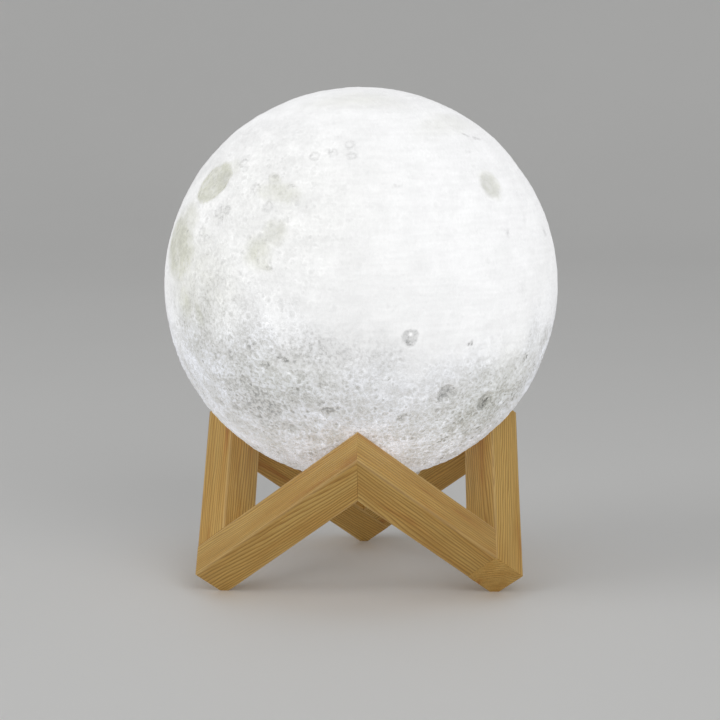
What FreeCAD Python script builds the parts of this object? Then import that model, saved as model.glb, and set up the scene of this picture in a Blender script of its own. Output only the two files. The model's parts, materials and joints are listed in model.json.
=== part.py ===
"""Moon lamp: a printed globe with a light module in its base, resting in a crown of six wooden rails.

The origin is on the surface that the lamp stands on, under the globe's centre. +Z is up and -Y is the front.
The stand follows the edges of a cube that stands on one corner. Its three pairs of rails lie in the three
cube faces that meet at the inner corner, so each pair's own frame has that corner as its origin and two cube
edges as X and Y. The light module's frame has its origin in the middle of its base face.
"""
import FreeCAD, Part
import math
import os
import Sketcher

DIMENSIONS = {
    # stand
    "rail_reach": 72.0,  # inner cube corner to the outer end of a rail
    "rail_width": 15.0,
    "rail_thickness": 14.5,
    "edge_ease": 0.5,
    "foot_trim": 1.5,  # height cut off each foot corner
    "bore_radius": 2.5,
    "dowel_clearance": 0.05,
    "apex_bore_depth": 6.5,
    "foot_bore_depth": 11.0,
    "end_bore_depth": 15.0,
    "bore_spare": 0.5,  # glue space past each dowel's end
    # globe
    "globe_radius": 75.0,
    "shell_wall": 2.0,
    "rim_drop": 71.4,  # globe centre down to the flat rim
    "opening_radius": 20.0,
    "rest_gap": 0.3,
    # housing
    "flange_radius": 22.8,
    "flange_thickness": 1.5,
    "housing_radius": 19.9,
    "housing_wall": 1.6,
    "housing_height": 46.0,
    "floor_thickness": 2.0,
    "lid_seat": 44.0,
    "moulded_ease": 0.4,  # chamfer on the flange and on the button's cap
    "boss_ring": 15.9,
    "boss_radius": 2.6,
    "post_ring": 16.0,
    "post_radius": 2.5,
    "lid_radius": 18.2,
    # screws; a head and its recess keep their proportions to the shank
    "lid_screw_radius": 1.1,
    "lid_screw_length": 7.0,
    "board_screw_radius": 0.9,
    "board_screw_length": 5.0,
    "led_screw_length": 3.4,
    "screw_clearance": 0.05,
    "pilot_depth": 6.0,
    "head_ratio": 1.9,
    "head_height_ratio": 1.2,
    "slot_length_ratio": 2.2,
    "slot_width_ratio": 0.5,
    "slot_depth_ratio": 0.7,
    # control board and what it carries
    "board_seat": 9.0,
    "board_radius": 17.9,
    "board_thickness": 1.2,
    "notch_radius": 3.2,
    "chip_length": 5.0,
    "chip_width": 4.0,
    "chip_height": 1.5,
    "chip_across": 7.0,
    "chip_forward": 8.0,
    # power button
    "button_forward": 7.0,
    "button_hole_radius": 5.6,
    "button_radius": 5.45,
    "button_recess": 0.2,
    "button_flange_radius": 6.8,
    "button_flange_seat": 2.1,
    "button_flange_thickness": 0.8,
    "plunger_radius": 1.7,
    "plunger_bottom": 4.4,
    "plunger_length": 2.0,
    "switch_side": 6.0,
    "switch_bottom": 5.4,
    "switch_bore_radius": 1.8,
    "switch_bore_depth": 1.7,
    # charging socket
    "jack_back": 8.0,
    "jack_radius": 4.0,
    "jack_hole_radius": 4.05,
    "jack_recess": 0.2,
    "socket_radius": 1.9,
    "socket_end": 7.7,
    "pin_radius": 0.65,
    "pin_recess": 1.2,
    # charge indicator
    "pipe_across": 10.5,
    "pipe_back": 1.0,
    "pipe_radius": 1.5,
    "pipe_hole_radius": 1.55,
    "pipe_flange_radius": 2.2,
    "pipe_flange_thickness": 0.8,
    "indicator_length": 2.0,
    "indicator_width": 1.25,
    "indicator_height": 0.8,
    # battery
    "battery_width": 25.0,
    "battery_depth": 9.0,
    "battery_height": 28.0,
    "battery_back": 2.0,
    "pad_height": 2.2,
    "lead_radius": 0.6,
    "lead_bend": 1.8,
    "lead_across": 4.0,
    "lead_setback": 2.6,  # behind the cell's middle
    # light board
    "led_board_radius": 13.2,
    "led_board_thickness": 1.5,
    "led_ring": 8.0,
    "led_length": 3.5,
    "led_width": 2.8,
    "led_height": 0.8,
    "led_screw_across": 11.2,
    "lead_hole_radius": 2.6,
    "lead_hole_forward": 6.0,
    "led_lead_pitch": 1.5,
}

# Where the stand and the globe lie, as formulas of the sheet's cells.
CORNER_Z = "((2 * dims.rail_thickness + dims.rail_width - dims.rail_reach) / sqrt(3) - dims.foot_trim)"
CRADLED = (
    "((2 * dims.rail_reach + sqrt(3 * (dims.globe_radius + dims.rest_gap) ^ 2"
    " - 2 * dims.rail_reach ^ 2)) / 3)"
)
GLOBE_Z = f"({CORNER_Z} + sqrt(3) * {CRADLED})"
BASE_Z = f"({GLOBE_Z} - dims.rim_drop - dims.flange_thickness)"

RAIL_INNER = "(dims.rail_reach - dims.rail_width)"
RAIL_MIDDLE = "(dims.rail_reach - dims.rail_width / 2)"
HALF_THICKNESS = "(dims.rail_thickness / 2)"
DOWEL_RADIUS = "(dims.bore_radius - dims.dowel_clearance)"
BOARD_TOP = "(dims.board_seat + dims.board_thickness)"
BATTERY_BOTTOM = f"({BOARD_TOP} + dims.pad_height)"
BATTERY_TOP = f"({BATTERY_BOTTOM} + dims.battery_height)"
LED_BOARD_TOP = "(dims.housing_height + dims.led_board_thickness)"

# First angle, in degrees, of each ring of three in the light module; the others follow 120 degrees apart.
LID_BOSS_ANGLE = 90
BOARD_POST_ANGLE = 0

# First angle of each ring of four lamps, clear of the light board's screws at 0 and 180 degrees.
COOL_LED_ANGLE = 22.5
WARM_LED_ANGLE = 67.5

# Craters deep enough to be part of the shell's form: longitude from the front towards +X and latitude, in
# degrees, then rim radius and depth in millimetres.
CRATERS = {
    "dark_rimmed_crater": (16.0, -8.0, 3.4, 0.9),
    "right_spot_crater": (55.0, 35.5, 4.6, 0.7),
    "low_right_crater": (30.5, -27.0, 4.0, 0.8),
    "low_edge_crater": (49.0, -31.0, 4.6, 0.8),
    "oval_basin": (-62.5, 34.5, 7.5, 0.9),
    "far_east_crater": (118.0, 18.0, 6.0, 0.9),
    "far_south_crater": (168.0, -16.0, 7.0, 1.0),
    "far_north_crater": (150.0, 48.0, 5.0, 0.8),
    "far_west_crater": (-136.0, 28.0, 5.0, 0.8),
    "west_crater": (-108.0, -24.0, 6.5, 0.9),
}

doc = FreeCAD.newDocument("moon_lamp")


# ---------------------------------------------------------------- sheet and small helpers


def make_sheet():
    """Fill the sheet of driving dimensions: a name in column A, its value in column B."""
    sheet = doc.addObject("Spreadsheet::Sheet", "dims")
    for row, (name, value) in enumerate(DIMENSIONS.items(), start=1):
        sheet.set(f"A{row}", name)
        sheet.set(f"B{row}", str(value))
        sheet.setAlias(f"B{row}", name)
    doc.recompute()
    return sheet


dims = make_sheet()


def number(formula):
    return float(dims.evalExpression(formula))


def bind(thing, **formulas):
    """Bind an object's properties to formulas of the sheet's cells."""
    for name, formula in formulas.items():
        thing.setExpression(name, formula)


def place(thing, across="0", back="0", up="0", rotation=None):
    """Put an object at a position that the sheet's cells give."""
    if rotation is not None:
        thing.Placement = FreeCAD.Placement(FreeCAD.Vector(), rotation)
    for axis, formula in zip("xyz", (across, back, up)):
        thing.setExpression(f".Placement.Base.{axis}", formula)
    return thing


def new_body(label):
    body = doc.addObject("PartDesign::Body", label)
    body.Label = label
    return body


def new_sketch(body, name, plane_role, lift=None):
    """Start a sketch on one of the body's own planes, lifted off it where asked."""
    sketch = body.newObject("Sketcher::SketchObject", name)
    plane = next(item for item in body.Origin.OriginFeatures if item.Role == plane_role)
    sketch.AttachmentSupport = [(plane, "")]
    sketch.MapMode = "FlatFace"
    if lift is not None:
        sketch.setExpression(".AttachmentOffset.Base.z", lift)
    return sketch


def pin_point(sketch, geometry, end, corner):
    """Hold one point of a sketch at a corner given as two formulas."""
    for kind, axis, formula in zip(("DistanceX", "DistanceY"), (-2, -1), corner):
        value = number(formula)
        if abs(value) < 1e-9:
            sketch.addConstraint(Sketcher.Constraint("PointOnObject", geometry, end, axis))
        else:
            index = sketch.addConstraint(Sketcher.Constraint(kind, -1, 1, geometry, end, value))
            sketch.setExpression(f"Constraints[{index}]", formula)


def draw_polygon(sketch, corners):
    """Draw a closed outline of straight sides through corners given as formulas."""
    points = [FreeCAD.Vector(number(u), number(v), 0) for u, v in corners]
    count = len(points)
    for i in range(count):
        sketch.addGeometry(Part.LineSegment(points[i], points[(i + 1) % count]), False)
    for i in range(count):
        sketch.addConstraint(Sketcher.Constraint("Coincident", i, 2, (i + 1) % count, 1))
    for i, corner in enumerate(corners):
        pin_point(sketch, i, 1, corner)
    return sketch


def draw_circle(sketch, centre, radius):
    """Draw a circle whose centre and radius are formulas."""
    middle = FreeCAD.Vector(number(centre[0]), number(centre[1]), 0)
    index = sketch.addGeometry(Part.Circle(middle, FreeCAD.Vector(0, 0, 1), number(radius)), False)
    pin_point(sketch, index, 3, centre)
    size = sketch.addConstraint(Sketcher.Constraint("Radius", index, number(radius)))
    sketch.setExpression(f"Constraints[{size}]", radius)
    return sketch


def pad(body, sketch, length, name, downwards=False):
    feature = body.newObject("PartDesign::Pad", name)
    feature.Profile = sketch
    feature.Reversed = downwards
    bind(feature, Length=length)
    return feature


def pocket(body, sketch, depth, name, upwards=False):
    """Cut a sketch into the body, and make sure that it really cuts."""
    doc.recompute()
    before = body.Shape.Volume
    feature = body.newObject("PartDesign::Pocket", name)
    feature.Profile = sketch
    feature.Reversed = upwards
    bind(feature, Length=depth)
    doc.recompute()
    if not feature.Shape.Volume < before - 1e-3:
        raise RuntimeError(f"{body.Label}: {name} cuts nothing")
    return feature


def three_fold(body, feature, name):
    """Repeat a feature three times about the body's Z axis."""
    pattern = body.newObject("PartDesign::PolarPattern", name)
    pattern.Originals = [feature]
    axis = next(item for item in body.Origin.OriginFeatures if item.Role == "Z_Axis")
    pattern.Axis = (axis, [""])
    pattern.Angle = 360
    pattern.Occurrences = 3
    body.Tip = pattern
    return pattern


def turned_body(label, profile):
    """Make a round piece from its half section, given as (radius, height) formulas."""
    body = new_body(label)
    sketch = draw_polygon(new_sketch(body, f"{label}_section", "XZ_Plane"), profile)
    turn = body.newObject("PartDesign::Revolution", f"{label}_turned")
    turn.Profile = sketch
    turn.ReferenceAxis = (sketch, ["V_Axis"])
    turn.Angle = 360
    return body


def cylinder(name, radius, height):
    piece = doc.addObject("Part::Cylinder", name)
    bind(piece, Radius=radius, Height=height)
    return piece


def block(name, length, width, height, middle, back, bottom):
    """A box centred on (middle, back) that starts at the height bottom."""
    piece = doc.addObject("Part::Box", name)
    bind(piece, Length=length, Width=width, Height=height)
    return place(piece, f"{middle} - {length} / 2", f"{back} - {width} / 2", bottom)


def cut(label, base, *tools):
    """Take one or more tools away from a base."""
    tool = tools[0]
    if len(tools) > 1:
        tool = doc.addObject("Part::MultiFuse", f"{label}_tools")
        tool.Shapes = list(tools)
    result = doc.addObject("Part::Cut", label)
    result.Base = base
    result.Tool = tool
    result.Label = label
    return result


def group(label, pieces):
    """Join identical separate pieces in one node."""
    result = doc.addObject("Part::Compound", label)
    result.Links = pieces
    result.Label = label
    return result


# ---------------------------------------------------------------- stand


def cube_edge(azimuth):
    """Unit vector along a rising cube edge; azimuth is measured from the front towards +X."""
    angle = math.radians(azimuth)
    flat = math.sqrt(2 / 3)
    return FreeCAD.Vector(flat * math.sin(angle), -flat * math.cos(angle), 1 / math.sqrt(3))


def pair_frame(turn):
    """Rotation of a rail pair's own frame: 0 is the front pair, 1 the right one and 2 the left one."""
    edges = [cube_edge(azimuth + 120 * turn) for azimuth in (-60, 60, 180)]
    return FreeCAD.Rotation(*edges, "XYZ")


def into_pair(thing, turn):
    return place(thing, up=CORNER_Z, rotation=pair_frame(turn))


def diagonal(along, outwards=None):
    """Corner of a half section whose axis crosses the apex mitre squarely."""
    aside = outwards or "0"
    return (
        f"{RAIL_MIDDLE} + (({along}) + ({aside})) / sqrt(2)",
        f"{RAIL_MIDDLE} + (({aside}) - ({along})) / sqrt(2)",
    )


def apex_section(start, end, radius):
    """Half section of a dowel or bore across the mitre; its first side lies on the axis."""
    return [diagonal(start), diagonal(end), diagonal(end, radius), diagonal(start, radius)]


def foot_section(start, end, radius, along_first):
    """Half section of a dowel or bore along the first or the third axis of a pair's frame."""
    corners = [("0", start), ("0", end), (radius, end), (radius, start)]
    if along_first:
        return [(along, f"{RAIL_MIDDLE} + {aside}") for aside, along in corners]
    return [(f"{RAIL_MIDDLE} + {aside}", along) for aside, along in corners]


def spin(body, kind, sketch, name):
    """Turn a half section about its first side, to add (Revolution) or cut (Groove)."""
    feature = body.newObject(f"PartDesign::{kind}", name)
    feature.Profile = sketch
    feature.ReferenceAxis = (sketch, ["Edge1"])
    feature.Angle = 360
    return feature


def ease_long_edges(body, feature, along):
    """Take the sharpness off the four edges that run along the rail."""
    doc.recompute()
    names = []
    for index, edge in enumerate(feature.Shape.Edges, start=1):
        direction = edge.tangentAt(edge.FirstParameter)
        if abs(direction.dot(along)) > 0.999:
            names.append(f"Edge{index}")
    if len(names) != 4:
        raise RuntimeError(f"{body.Label}: {len(names)} long edges")
    chamfer = body.newObject("PartDesign::Chamfer", f"{body.Label}_eased")
    chamfer.Base = (feature, names)
    bind(chamfer, Size="dims.edge_ease")
    return chamfer


def rail_blank(label, outline, along):
    body = new_body(label)
    sketch = draw_polygon(new_sketch(body, f"{label}_outline", "XY_Plane"), outline)
    length = pad(body, sketch, "dims.rail_thickness", f"{label}_length", downwards=True)
    ease_long_edges(body, length, along)
    return body


def bore(body, plane_role, lift, section, name):
    """Cut a round blind hole, and make sure that it really cuts."""
    doc.recompute()
    before = body.Shape.Volume
    sketch = draw_polygon(new_sketch(body, f"{name}_section", plane_role, lift), section)
    spin(body, "Groove", sketch, name)
    doc.recompute()
    if not body.Shape.Volume < before - 100:
        raise RuntimeError(f"{body.Label}: {name} cuts nothing")


def through_rail(label, turn, floor):
    """The rail that runs down to the floor at its foot, mitred at the apex."""
    low = "-dims.rail_thickness"
    outline = [
        (RAIL_INNER, low),
        ("dims.rail_reach", low),
        ("dims.rail_reach", "dims.rail_reach"),
        (RAIL_INNER, RAIL_INNER),
    ]
    body = rail_blank(f"{label}_blank", outline, FreeCAD.Vector(0, 1, 0))
    section = apex_section("0", "dims.apex_bore_depth", "dims.bore_radius")
    bore(body, "XY_Plane", f"-{HALF_THICKNESS}", section, "apex_bore")
    section = foot_section("-dims.foot_bore_depth", "0", "dims.bore_radius", along_first=False)
    bore(body, "XZ_Plane", HALF_THICKNESS, section, "foot_bore")
    into_pair(body, turn)
    return cut(label, body, floor)


def butting_rail(label, turn):
    """The rail that stops square on its neighbour's inner face, mitred at the apex."""
    outline = [
        ("0", RAIL_INNER),
        (RAIL_INNER, RAIL_INNER),
        ("dims.rail_reach", "dims.rail_reach"),
        ("0", "dims.rail_reach"),
    ]
    body = rail_blank(label, outline, FreeCAD.Vector(1, 0, 0))
    section = apex_section("0", "-dims.apex_bore_depth", "dims.bore_radius")
    bore(body, "XY_Plane", f"-{HALF_THICKNESS}", section, "apex_bore")
    section = foot_section("0", "dims.end_bore_depth", "dims.bore_radius", along_first=True)
    bore(body, "XY_Plane", f"-{HALF_THICKNESS}", section, "end_bore")
    return into_pair(body, turn)


def dowel(name, turn, plane_role, lift, section):
    body = new_body(name)
    sketch = draw_polygon(new_sketch(body, f"{name}_section", plane_role, lift), section)
    spin(body, "Revolution", sketch, f"{name}_turned")
    return into_pair(body, turn)


def make_stand():
    floor = doc.addObject("Part::Box", "floor_trim")
    bind(floor, Length="4 * dims.rail_reach", Width="4 * dims.rail_reach", Height="dims.rail_reach")
    place(floor, "-2 * dims.rail_reach", "-2 * dims.rail_reach", "-dims.rail_reach")

    rails = [
        through_rail("rail_front_left", 0, floor),
        butting_rail("rail_front_right", 0),
        through_rail("rail_right_front", 1, floor),
        butting_rail("rail_right_back", 1),
        through_rail("rail_left_back", 2, floor),
        butting_rail("rail_left_front", 2),
    ]

    apex_end = "(dims.apex_bore_depth - dims.bore_spare)"
    apex = apex_section(f"-{apex_end}", apex_end, DOWEL_RADIUS)
    low = "-(dims.foot_bore_depth - dims.bore_spare)"
    high = "dims.end_bore_depth - dims.bore_spare"
    foot = foot_section(low, high, DOWEL_RADIUS, along_first=False)
    apex_dowels = [dowel(f"apex_dowel_{i}", i, "XY_Plane", f"-{HALF_THICKNESS}", apex) for i in range(3)]
    foot_dowels = [dowel(f"foot_dowel_{i}", i, "XZ_Plane", HALF_THICKNESS, foot) for i in range(3)]
    return rails + [group("apex_dowels", apex_dowels), group("foot_dowels", foot_dowels)]


# ---------------------------------------------------------------- globe


def crater_tool(name, longitude, latitude, radius, depth):
    """A ball whose outside cuts a bowl of the given rim radius and depth into the globe."""
    floor = f"(dims.globe_radius - {depth})"
    rim = f"sqrt(dims.globe_radius ^ 2 - {radius} ^ 2)"
    distance = f"(dims.globe_radius ^ 2 - {floor} ^ 2) / (2 * ({rim} - {floor}))"
    tool = doc.addObject("Part::Sphere", name)
    bind(tool, Radius=f"{distance} - {floor}")
    return place(
        tool,
        f"{distance} * cos({latitude}) * sin({longitude})",
        f"-({distance}) * cos({latitude}) * cos({longitude})",
        f"{distance} * sin({latitude})",
    )


def make_shell():
    """The hollow printed globe, cut flat at the bottom and bored for the light module."""
    globe = doc.addObject("Part::Sphere", "globe")
    bind(globe, Radius="dims.globe_radius")
    hollow = doc.addObject("Part::Sphere", "hollow")
    bind(hollow, Radius="dims.globe_radius - dims.shell_wall")
    flat = cylinder("rim_flat", "dims.globe_radius", "dims.globe_radius")
    place(flat, up="-dims.rim_drop - dims.globe_radius")
    opening = cylinder("opening", "dims.opening_radius", "dims.globe_radius")
    place(opening, up="-dims.globe_radius")
    craters = [crater_tool(name, *size) for name, size in CRATERS.items()]
    shell = cut("moon_shell", globe, hollow, flat, opening, *craters)
    return place(shell, up=GLOBE_Z)


# ---------------------------------------------------------------- light module


def on_ring(radius, angle):
    """Formulas of a point on a ring about the Z axis, at an angle in degrees from +X."""
    return f"{radius} * cos({angle})", f"{radius} * sin({angle})"


def in_module(piece, across="0", back="0", up="0"):
    """Place a piece that was made in the light module's frame."""
    return place(piece, across, back, f"{BASE_Z} + {up}")


def make_housing():
    """Base flange, cup, three tall bosses for the lid and three short posts for the board."""
    inner = "dims.housing_radius - dims.housing_wall"
    body = turned_body(
        "light_housing",
        [
            ("0", "0"),
            ("dims.flange_radius - dims.moulded_ease", "0"),
            ("dims.flange_radius", "dims.moulded_ease"),
            ("dims.flange_radius", "dims.flange_thickness"),
            ("dims.housing_radius", "dims.flange_thickness"),
            ("dims.housing_radius", "dims.housing_height"),
            (inner, "dims.housing_height"),
            (inner, "dims.floor_thickness"),
            ("0", "dims.floor_thickness"),
        ],
    )
    boss_centre = on_ring("dims.boss_ring", LID_BOSS_ANGLE)
    post_centre = on_ring("dims.post_ring", BOARD_POST_ANGLE)
    columns = {
        "boss": (boss_centre, "dims.boss_radius", "dims.lid_seat", "dims.lid_screw_radius"),
        "post": (post_centre, "dims.post_radius", "dims.board_seat", "dims.board_screw_radius"),
    }
    for name, (centre, radius, top, screw) in columns.items():
        sketch = draw_circle(new_sketch(body, f"{name}_circle", "XY_Plane"), centre, radius)
        three_fold(body, pad(body, sketch, top, name), f"{name}_ring")
        pilot = f"{screw} + dims.screw_clearance"
        sketch = new_sketch(body, f"{name}_pilot_circle", "XY_Plane", top)
        hole = pocket(body, draw_circle(sketch, centre, pilot), "dims.pilot_depth", f"{name}_pilot")
        three_fold(body, hole, f"{name}_pilot_ring")
    holes = new_sketch(body, "floor_circles", "XY_Plane", "dims.floor_thickness")
    draw_circle(holes, ("0", "-dims.button_forward"), "dims.button_hole_radius")
    draw_circle(holes, ("0", "dims.jack_back"), "dims.jack_hole_radius")
    draw_circle(holes, ("dims.pipe_across", "dims.pipe_back"), "dims.pipe_hole_radius")
    body.Tip = pocket(body, holes, "dims.floor_thickness", "floor_holes")
    return in_module(body)


def make_lid():
    """Disc that rests on the bosses, with screw holes and a hole for the light board's leads."""
    body = new_body("housing_lid")
    disc = draw_circle(new_sketch(body, "lid_circle", "XY_Plane"), ("0", "0"), "dims.lid_radius")
    for i in range(3):
        centre = on_ring("dims.boss_ring", LID_BOSS_ANGLE + 120 * i)
        draw_circle(disc, centre, "dims.lid_screw_radius + dims.screw_clearance")
    for side in ("", "-"):
        centre = (f"{side}dims.led_screw_across", "0")
        draw_circle(disc, centre, "dims.board_screw_radius + dims.screw_clearance")
    draw_circle(disc, ("0", "-dims.lead_hole_forward"), "dims.lead_hole_radius")
    pad(body, disc, "dims.housing_height - dims.lid_seat", "lid_disc")
    return in_module(body, up="dims.lid_seat")


def pan_screw(name, radius, length, seat, across, back):
    """Pan-head screw with a cross recess; seat is the height that its head rests on."""
    head_height = f"(dims.head_height_ratio * {radius})"
    slot_length = f"(dims.slot_length_ratio * {radius})"
    slot_width = f"(dims.slot_width_ratio * {radius})"
    slot_bottom = f"{head_height} - dims.slot_depth_ratio * {radius}"
    shank = place(cylinder(f"{name}_shank", radius, length), up=f"-({length})")
    head = cylinder(f"{name}_head", f"dims.head_ratio * {radius}", head_height)
    solid = doc.addObject("Part::Fuse", f"{name}_solid")
    solid.Base = shank
    solid.Tool = head
    slots = [
        block(f"{name}_slot_{i}", *sides, head_height, "0", "0", slot_bottom)
        for i, sides in enumerate([(slot_length, slot_width), (slot_width, slot_length)])
    ]
    return in_module(cut(name, solid, *slots), across, back, seat)


def ring_of_screws(label, ring, first_angle, radius, length, seat):
    screws = []
    for i in range(3):
        centre = on_ring(ring, first_angle + 120 * i)
        screws.append(pan_screw(f"{label}_{i}", radius, length, seat, *centre))
    return group(label, screws)


def make_control_board():
    """Round board with notches round the lid bosses and holes over its posts."""
    board = cylinder("board_disc", "dims.board_radius", "dims.board_thickness")
    tools = []
    screw_hole = "dims.board_screw_radius + dims.screw_clearance"
    for i in range(3):
        notch = cylinder(f"board_notch_{i}", "dims.notch_radius", "dims.board_thickness")
        tools.append(place(notch, *on_ring("dims.boss_ring", LID_BOSS_ANGLE + 120 * i)))
        hole = cylinder(f"board_hole_{i}", screw_hole, "dims.board_thickness")
        tools.append(place(hole, *on_ring("dims.post_ring", BOARD_POST_ANGLE + 120 * i)))
    return in_module(cut("control_board", board, *tools), up="dims.board_seat")


def make_board_parts():
    """Two driver chips on top of the board and the indicator under it."""
    chip = ("dims.chip_length", "dims.chip_width", "dims.chip_height")
    seat = f"{BASE_Z} + {BOARD_TOP}"
    charge = block("charge_controller", *chip, "-dims.chip_across", "-dims.chip_forward", seat)
    dimmer = block("dimmer_controller", *chip, "dims.chip_across", "-dims.chip_forward", seat)
    indicator = block(
        "indicator_led",
        "dims.indicator_length",
        "dims.indicator_width",
        "dims.indicator_height",
        "dims.pipe_across",
        "dims.pipe_back",
        f"{BASE_Z} + dims.board_seat - dims.indicator_height",
    )
    return [charge, dimmer, indicator]


def make_jack():
    """Round low-voltage socket and its centre pin."""
    jack = turned_body(
        "charge_jack",
        [
            ("dims.socket_radius", "dims.jack_recess"),
            ("dims.jack_radius", "dims.jack_recess"),
            ("dims.jack_radius", "dims.board_seat"),
            ("0", "dims.board_seat"),
            ("0", "dims.socket_end"),
            ("dims.socket_radius", "dims.socket_end"),
        ],
    )
    pin = cylinder("jack_pin", "dims.pin_radius", "dims.socket_end - dims.pin_recess")
    in_module(jack, back="dims.jack_back")
    in_module(pin, back="dims.jack_back", up="dims.pin_recess")
    return [jack, pin]


def make_button():
    """Push button in the base and the small switch that it works."""
    flange_top = "dims.button_flange_seat + dims.button_flange_thickness"
    cap = turned_body(
        "power_button",
        [
            ("0", "dims.button_recess"),
            ("dims.button_radius - dims.moulded_ease", "dims.button_recess"),
            ("dims.button_radius", "dims.button_recess + dims.moulded_ease"),
            ("dims.button_radius", "dims.button_flange_seat"),
            ("dims.button_flange_radius", "dims.button_flange_seat"),
            ("dims.button_flange_radius", flange_top),
            ("dims.plunger_radius", flange_top),
            ("dims.plunger_radius", "dims.plunger_bottom"),
            ("0", "dims.plunger_bottom"),
        ],
    )
    in_module(cap, back="-dims.button_forward")

    case = block(
        "switch_case",
        "dims.switch_side",
        "dims.switch_side",
        "dims.board_seat - dims.switch_bottom",
        "0",
        "0",
        "0",
    )
    well = cylinder("switch_well", "dims.switch_bore_radius", "dims.switch_bore_depth")
    switch = in_module(
        cut("switch_body", case, well), back="-dims.button_forward", up="dims.switch_bottom"
    )
    plunger = cylinder("switch_plunger", "dims.plunger_radius", "dims.plunger_length")
    in_module(plunger, back="-dims.button_forward", up="dims.plunger_bottom")
    return [cap, switch, plunger]


def make_light_pipe():
    """Clear plug that carries the indicator's light through the base."""
    flange_top = "dims.floor_thickness + dims.pipe_flange_thickness"
    pipe = turned_body(
        "light_pipe",
        [
            ("0", "0"),
            ("dims.pipe_radius", "0"),
            ("dims.pipe_radius", "dims.floor_thickness"),
            ("dims.pipe_flange_radius", "dims.floor_thickness"),
            ("dims.pipe_flange_radius", flange_top),
            ("dims.pipe_radius", flange_top),
            ("dims.pipe_radius", "dims.board_seat - dims.indicator_height"),
            ("0", "dims.board_seat - dims.indicator_height"),
        ],
    )
    return in_module(pipe, "dims.pipe_across", "dims.pipe_back")


def make_battery():
    """Flat pouch cell on a foam pad."""
    cell = block(
        "battery_cell",
        "dims.battery_width",
        "dims.battery_depth",
        "dims.battery_height",
        "0",
        "dims.battery_back",
        f"{BASE_Z} + {BATTERY_BOTTOM}",
    )
    foam = block(
        "battery_pad",
        "dims.battery_width",
        "dims.battery_depth",
        "dims.pad_height",
        "0",
        "dims.battery_back",
        f"{BASE_Z} + {BOARD_TOP}",
    )
    return [cell, foam]


def battery_lead(label, side):
    """Insulated lead: up out of the cell, over its edge and down to the board."""
    bend = number("dims.lead_bend")
    across = side * number("dims.lead_across")
    back = number("dims.battery_back + dims.lead_setback")
    start = FreeCAD.Vector(across, back, number(BATTERY_TOP))
    first = start + FreeCAD.Vector(0, 0, bend / 2)
    top = first + FreeCAD.Vector(0, bend, bend)
    last = first + FreeCAD.Vector(0, 2 * bend, 0)
    up = Part.LineSegment(start, first).toShape()
    over = Part.Arc(first, top, last).toShape()
    down = Part.LineSegment(last, FreeCAD.Vector(last.x, last.y, number(BOARD_TOP))).toShape()
    path = Part.Wire([up, over, down])
    radius = number("dims.lead_radius")
    round_section = Part.Wire([Part.Circle(start, FreeCAD.Vector(0, 0, 1), radius).toShape()])
    lead = doc.addObject("Part::Feature", label)
    lead.Shape = path.makePipeShell([round_section], True, False)
    lead.Label = label
    return in_module(lead)


def make_led_leads():
    """Three straight leads from the control board up to the light board."""
    leads = []
    for i in (-1, 0, 1):
        lead = cylinder(f"led_lead_{i + 1}", "dims.lead_radius", f"dims.housing_height - {BOARD_TOP}")
        across = f"{i} * dims.led_lead_pitch"
        leads.append(in_module(lead, across, "-dims.lead_hole_forward", BOARD_TOP))
    return group("led_leads", leads)


def make_light_board():
    """Round metal-core board and the two screws that hold it to the lid."""
    disc = cylinder("led_board_disc", "dims.led_board_radius", "dims.led_board_thickness")
    holes = []
    for i, side in enumerate(("", "-")):
        hole = cylinder(
            f"led_board_hole_{i}",
            "dims.board_screw_radius + dims.screw_clearance",
            "dims.led_board_thickness",
        )
        holes.append(place(hole, f"{side}dims.led_screw_across"))
    board = in_module(cut("led_board", disc, *holes), up="dims.housing_height")
    screws = [
        pan_screw(
            f"led_board_screw_{i}",
            "dims.board_screw_radius",
            "dims.led_screw_length",
            LED_BOARD_TOP,
            f"{side}dims.led_screw_across",
            "0",
        )
        for i, side in enumerate(("", "-"))
    ]
    return [board, group("led_board_screws", screws)]


def make_leds(label, first_angle):
    """Four lamp packages, a quarter turn apart."""
    lamps = []
    for i in range(4):
        angle = first_angle + 90 * i
        lamp = doc.addObject("Part::Box", f"{label}_{i}")
        bind(lamp, Length="dims.led_length", Width="dims.led_width", Height="dims.led_height")
        ray = "(dims.led_ring - dims.led_length / 2)"
        side = "(dims.led_width / 2)"
        place(
            lamp,
            f"{ray} * cos({angle}) + {side} * sin({angle})",
            f"{ray} * sin({angle}) - {side} * cos({angle})",
            f"{BASE_Z} + {LED_BOARD_TOP}",
            FreeCAD.Rotation(FreeCAD.Vector(0, 0, 1), angle),
        )
        lamps.append(lamp)
    return group(label, lamps)


def make_light_module():
    lid_screws = ring_of_screws(
        "lid_screws",
        "dims.boss_ring",
        LID_BOSS_ANGLE,
        "dims.lid_screw_radius",
        "dims.lid_screw_length",
        "dims.housing_height",
    )
    board_screws = ring_of_screws(
        "board_screws",
        "dims.post_ring",
        BOARD_POST_ANGLE,
        "dims.board_screw_radius",
        "dims.board_screw_length",
        BOARD_TOP,
    )
    return [
        make_housing(),
        make_lid(),
        lid_screws,
        make_control_board(),
        board_screws,
        *make_board_parts(),
        *make_jack(),
        *make_button(),
        make_light_pipe(),
        *make_battery(),
        battery_lead("battery_lead_red", 1),
        battery_lead("battery_lead_black", -1),
        make_led_leads(),
        *make_light_board(),
        make_leds("cool_white_leds", COOL_LED_ANGLE),
        make_leds("warm_white_leds", WARM_LED_ANGLE),
    ]


# ---------------------------------------------------------------- build and write


def check(parts):
    """Refuse a failed object or a broken shape before anything is written."""
    for thing in doc.Objects:
        if "Invalid" in thing.State or "Error" in thing.State:
            raise RuntimeError(f"{thing.Label}: {thing.State}")
    for part in parts:
        if part.Shape.isNull() or not part.Shape.isValid() or not part.Shape.Solids:
            raise RuntimeError(f"{part.Label}: bad shape")


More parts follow.
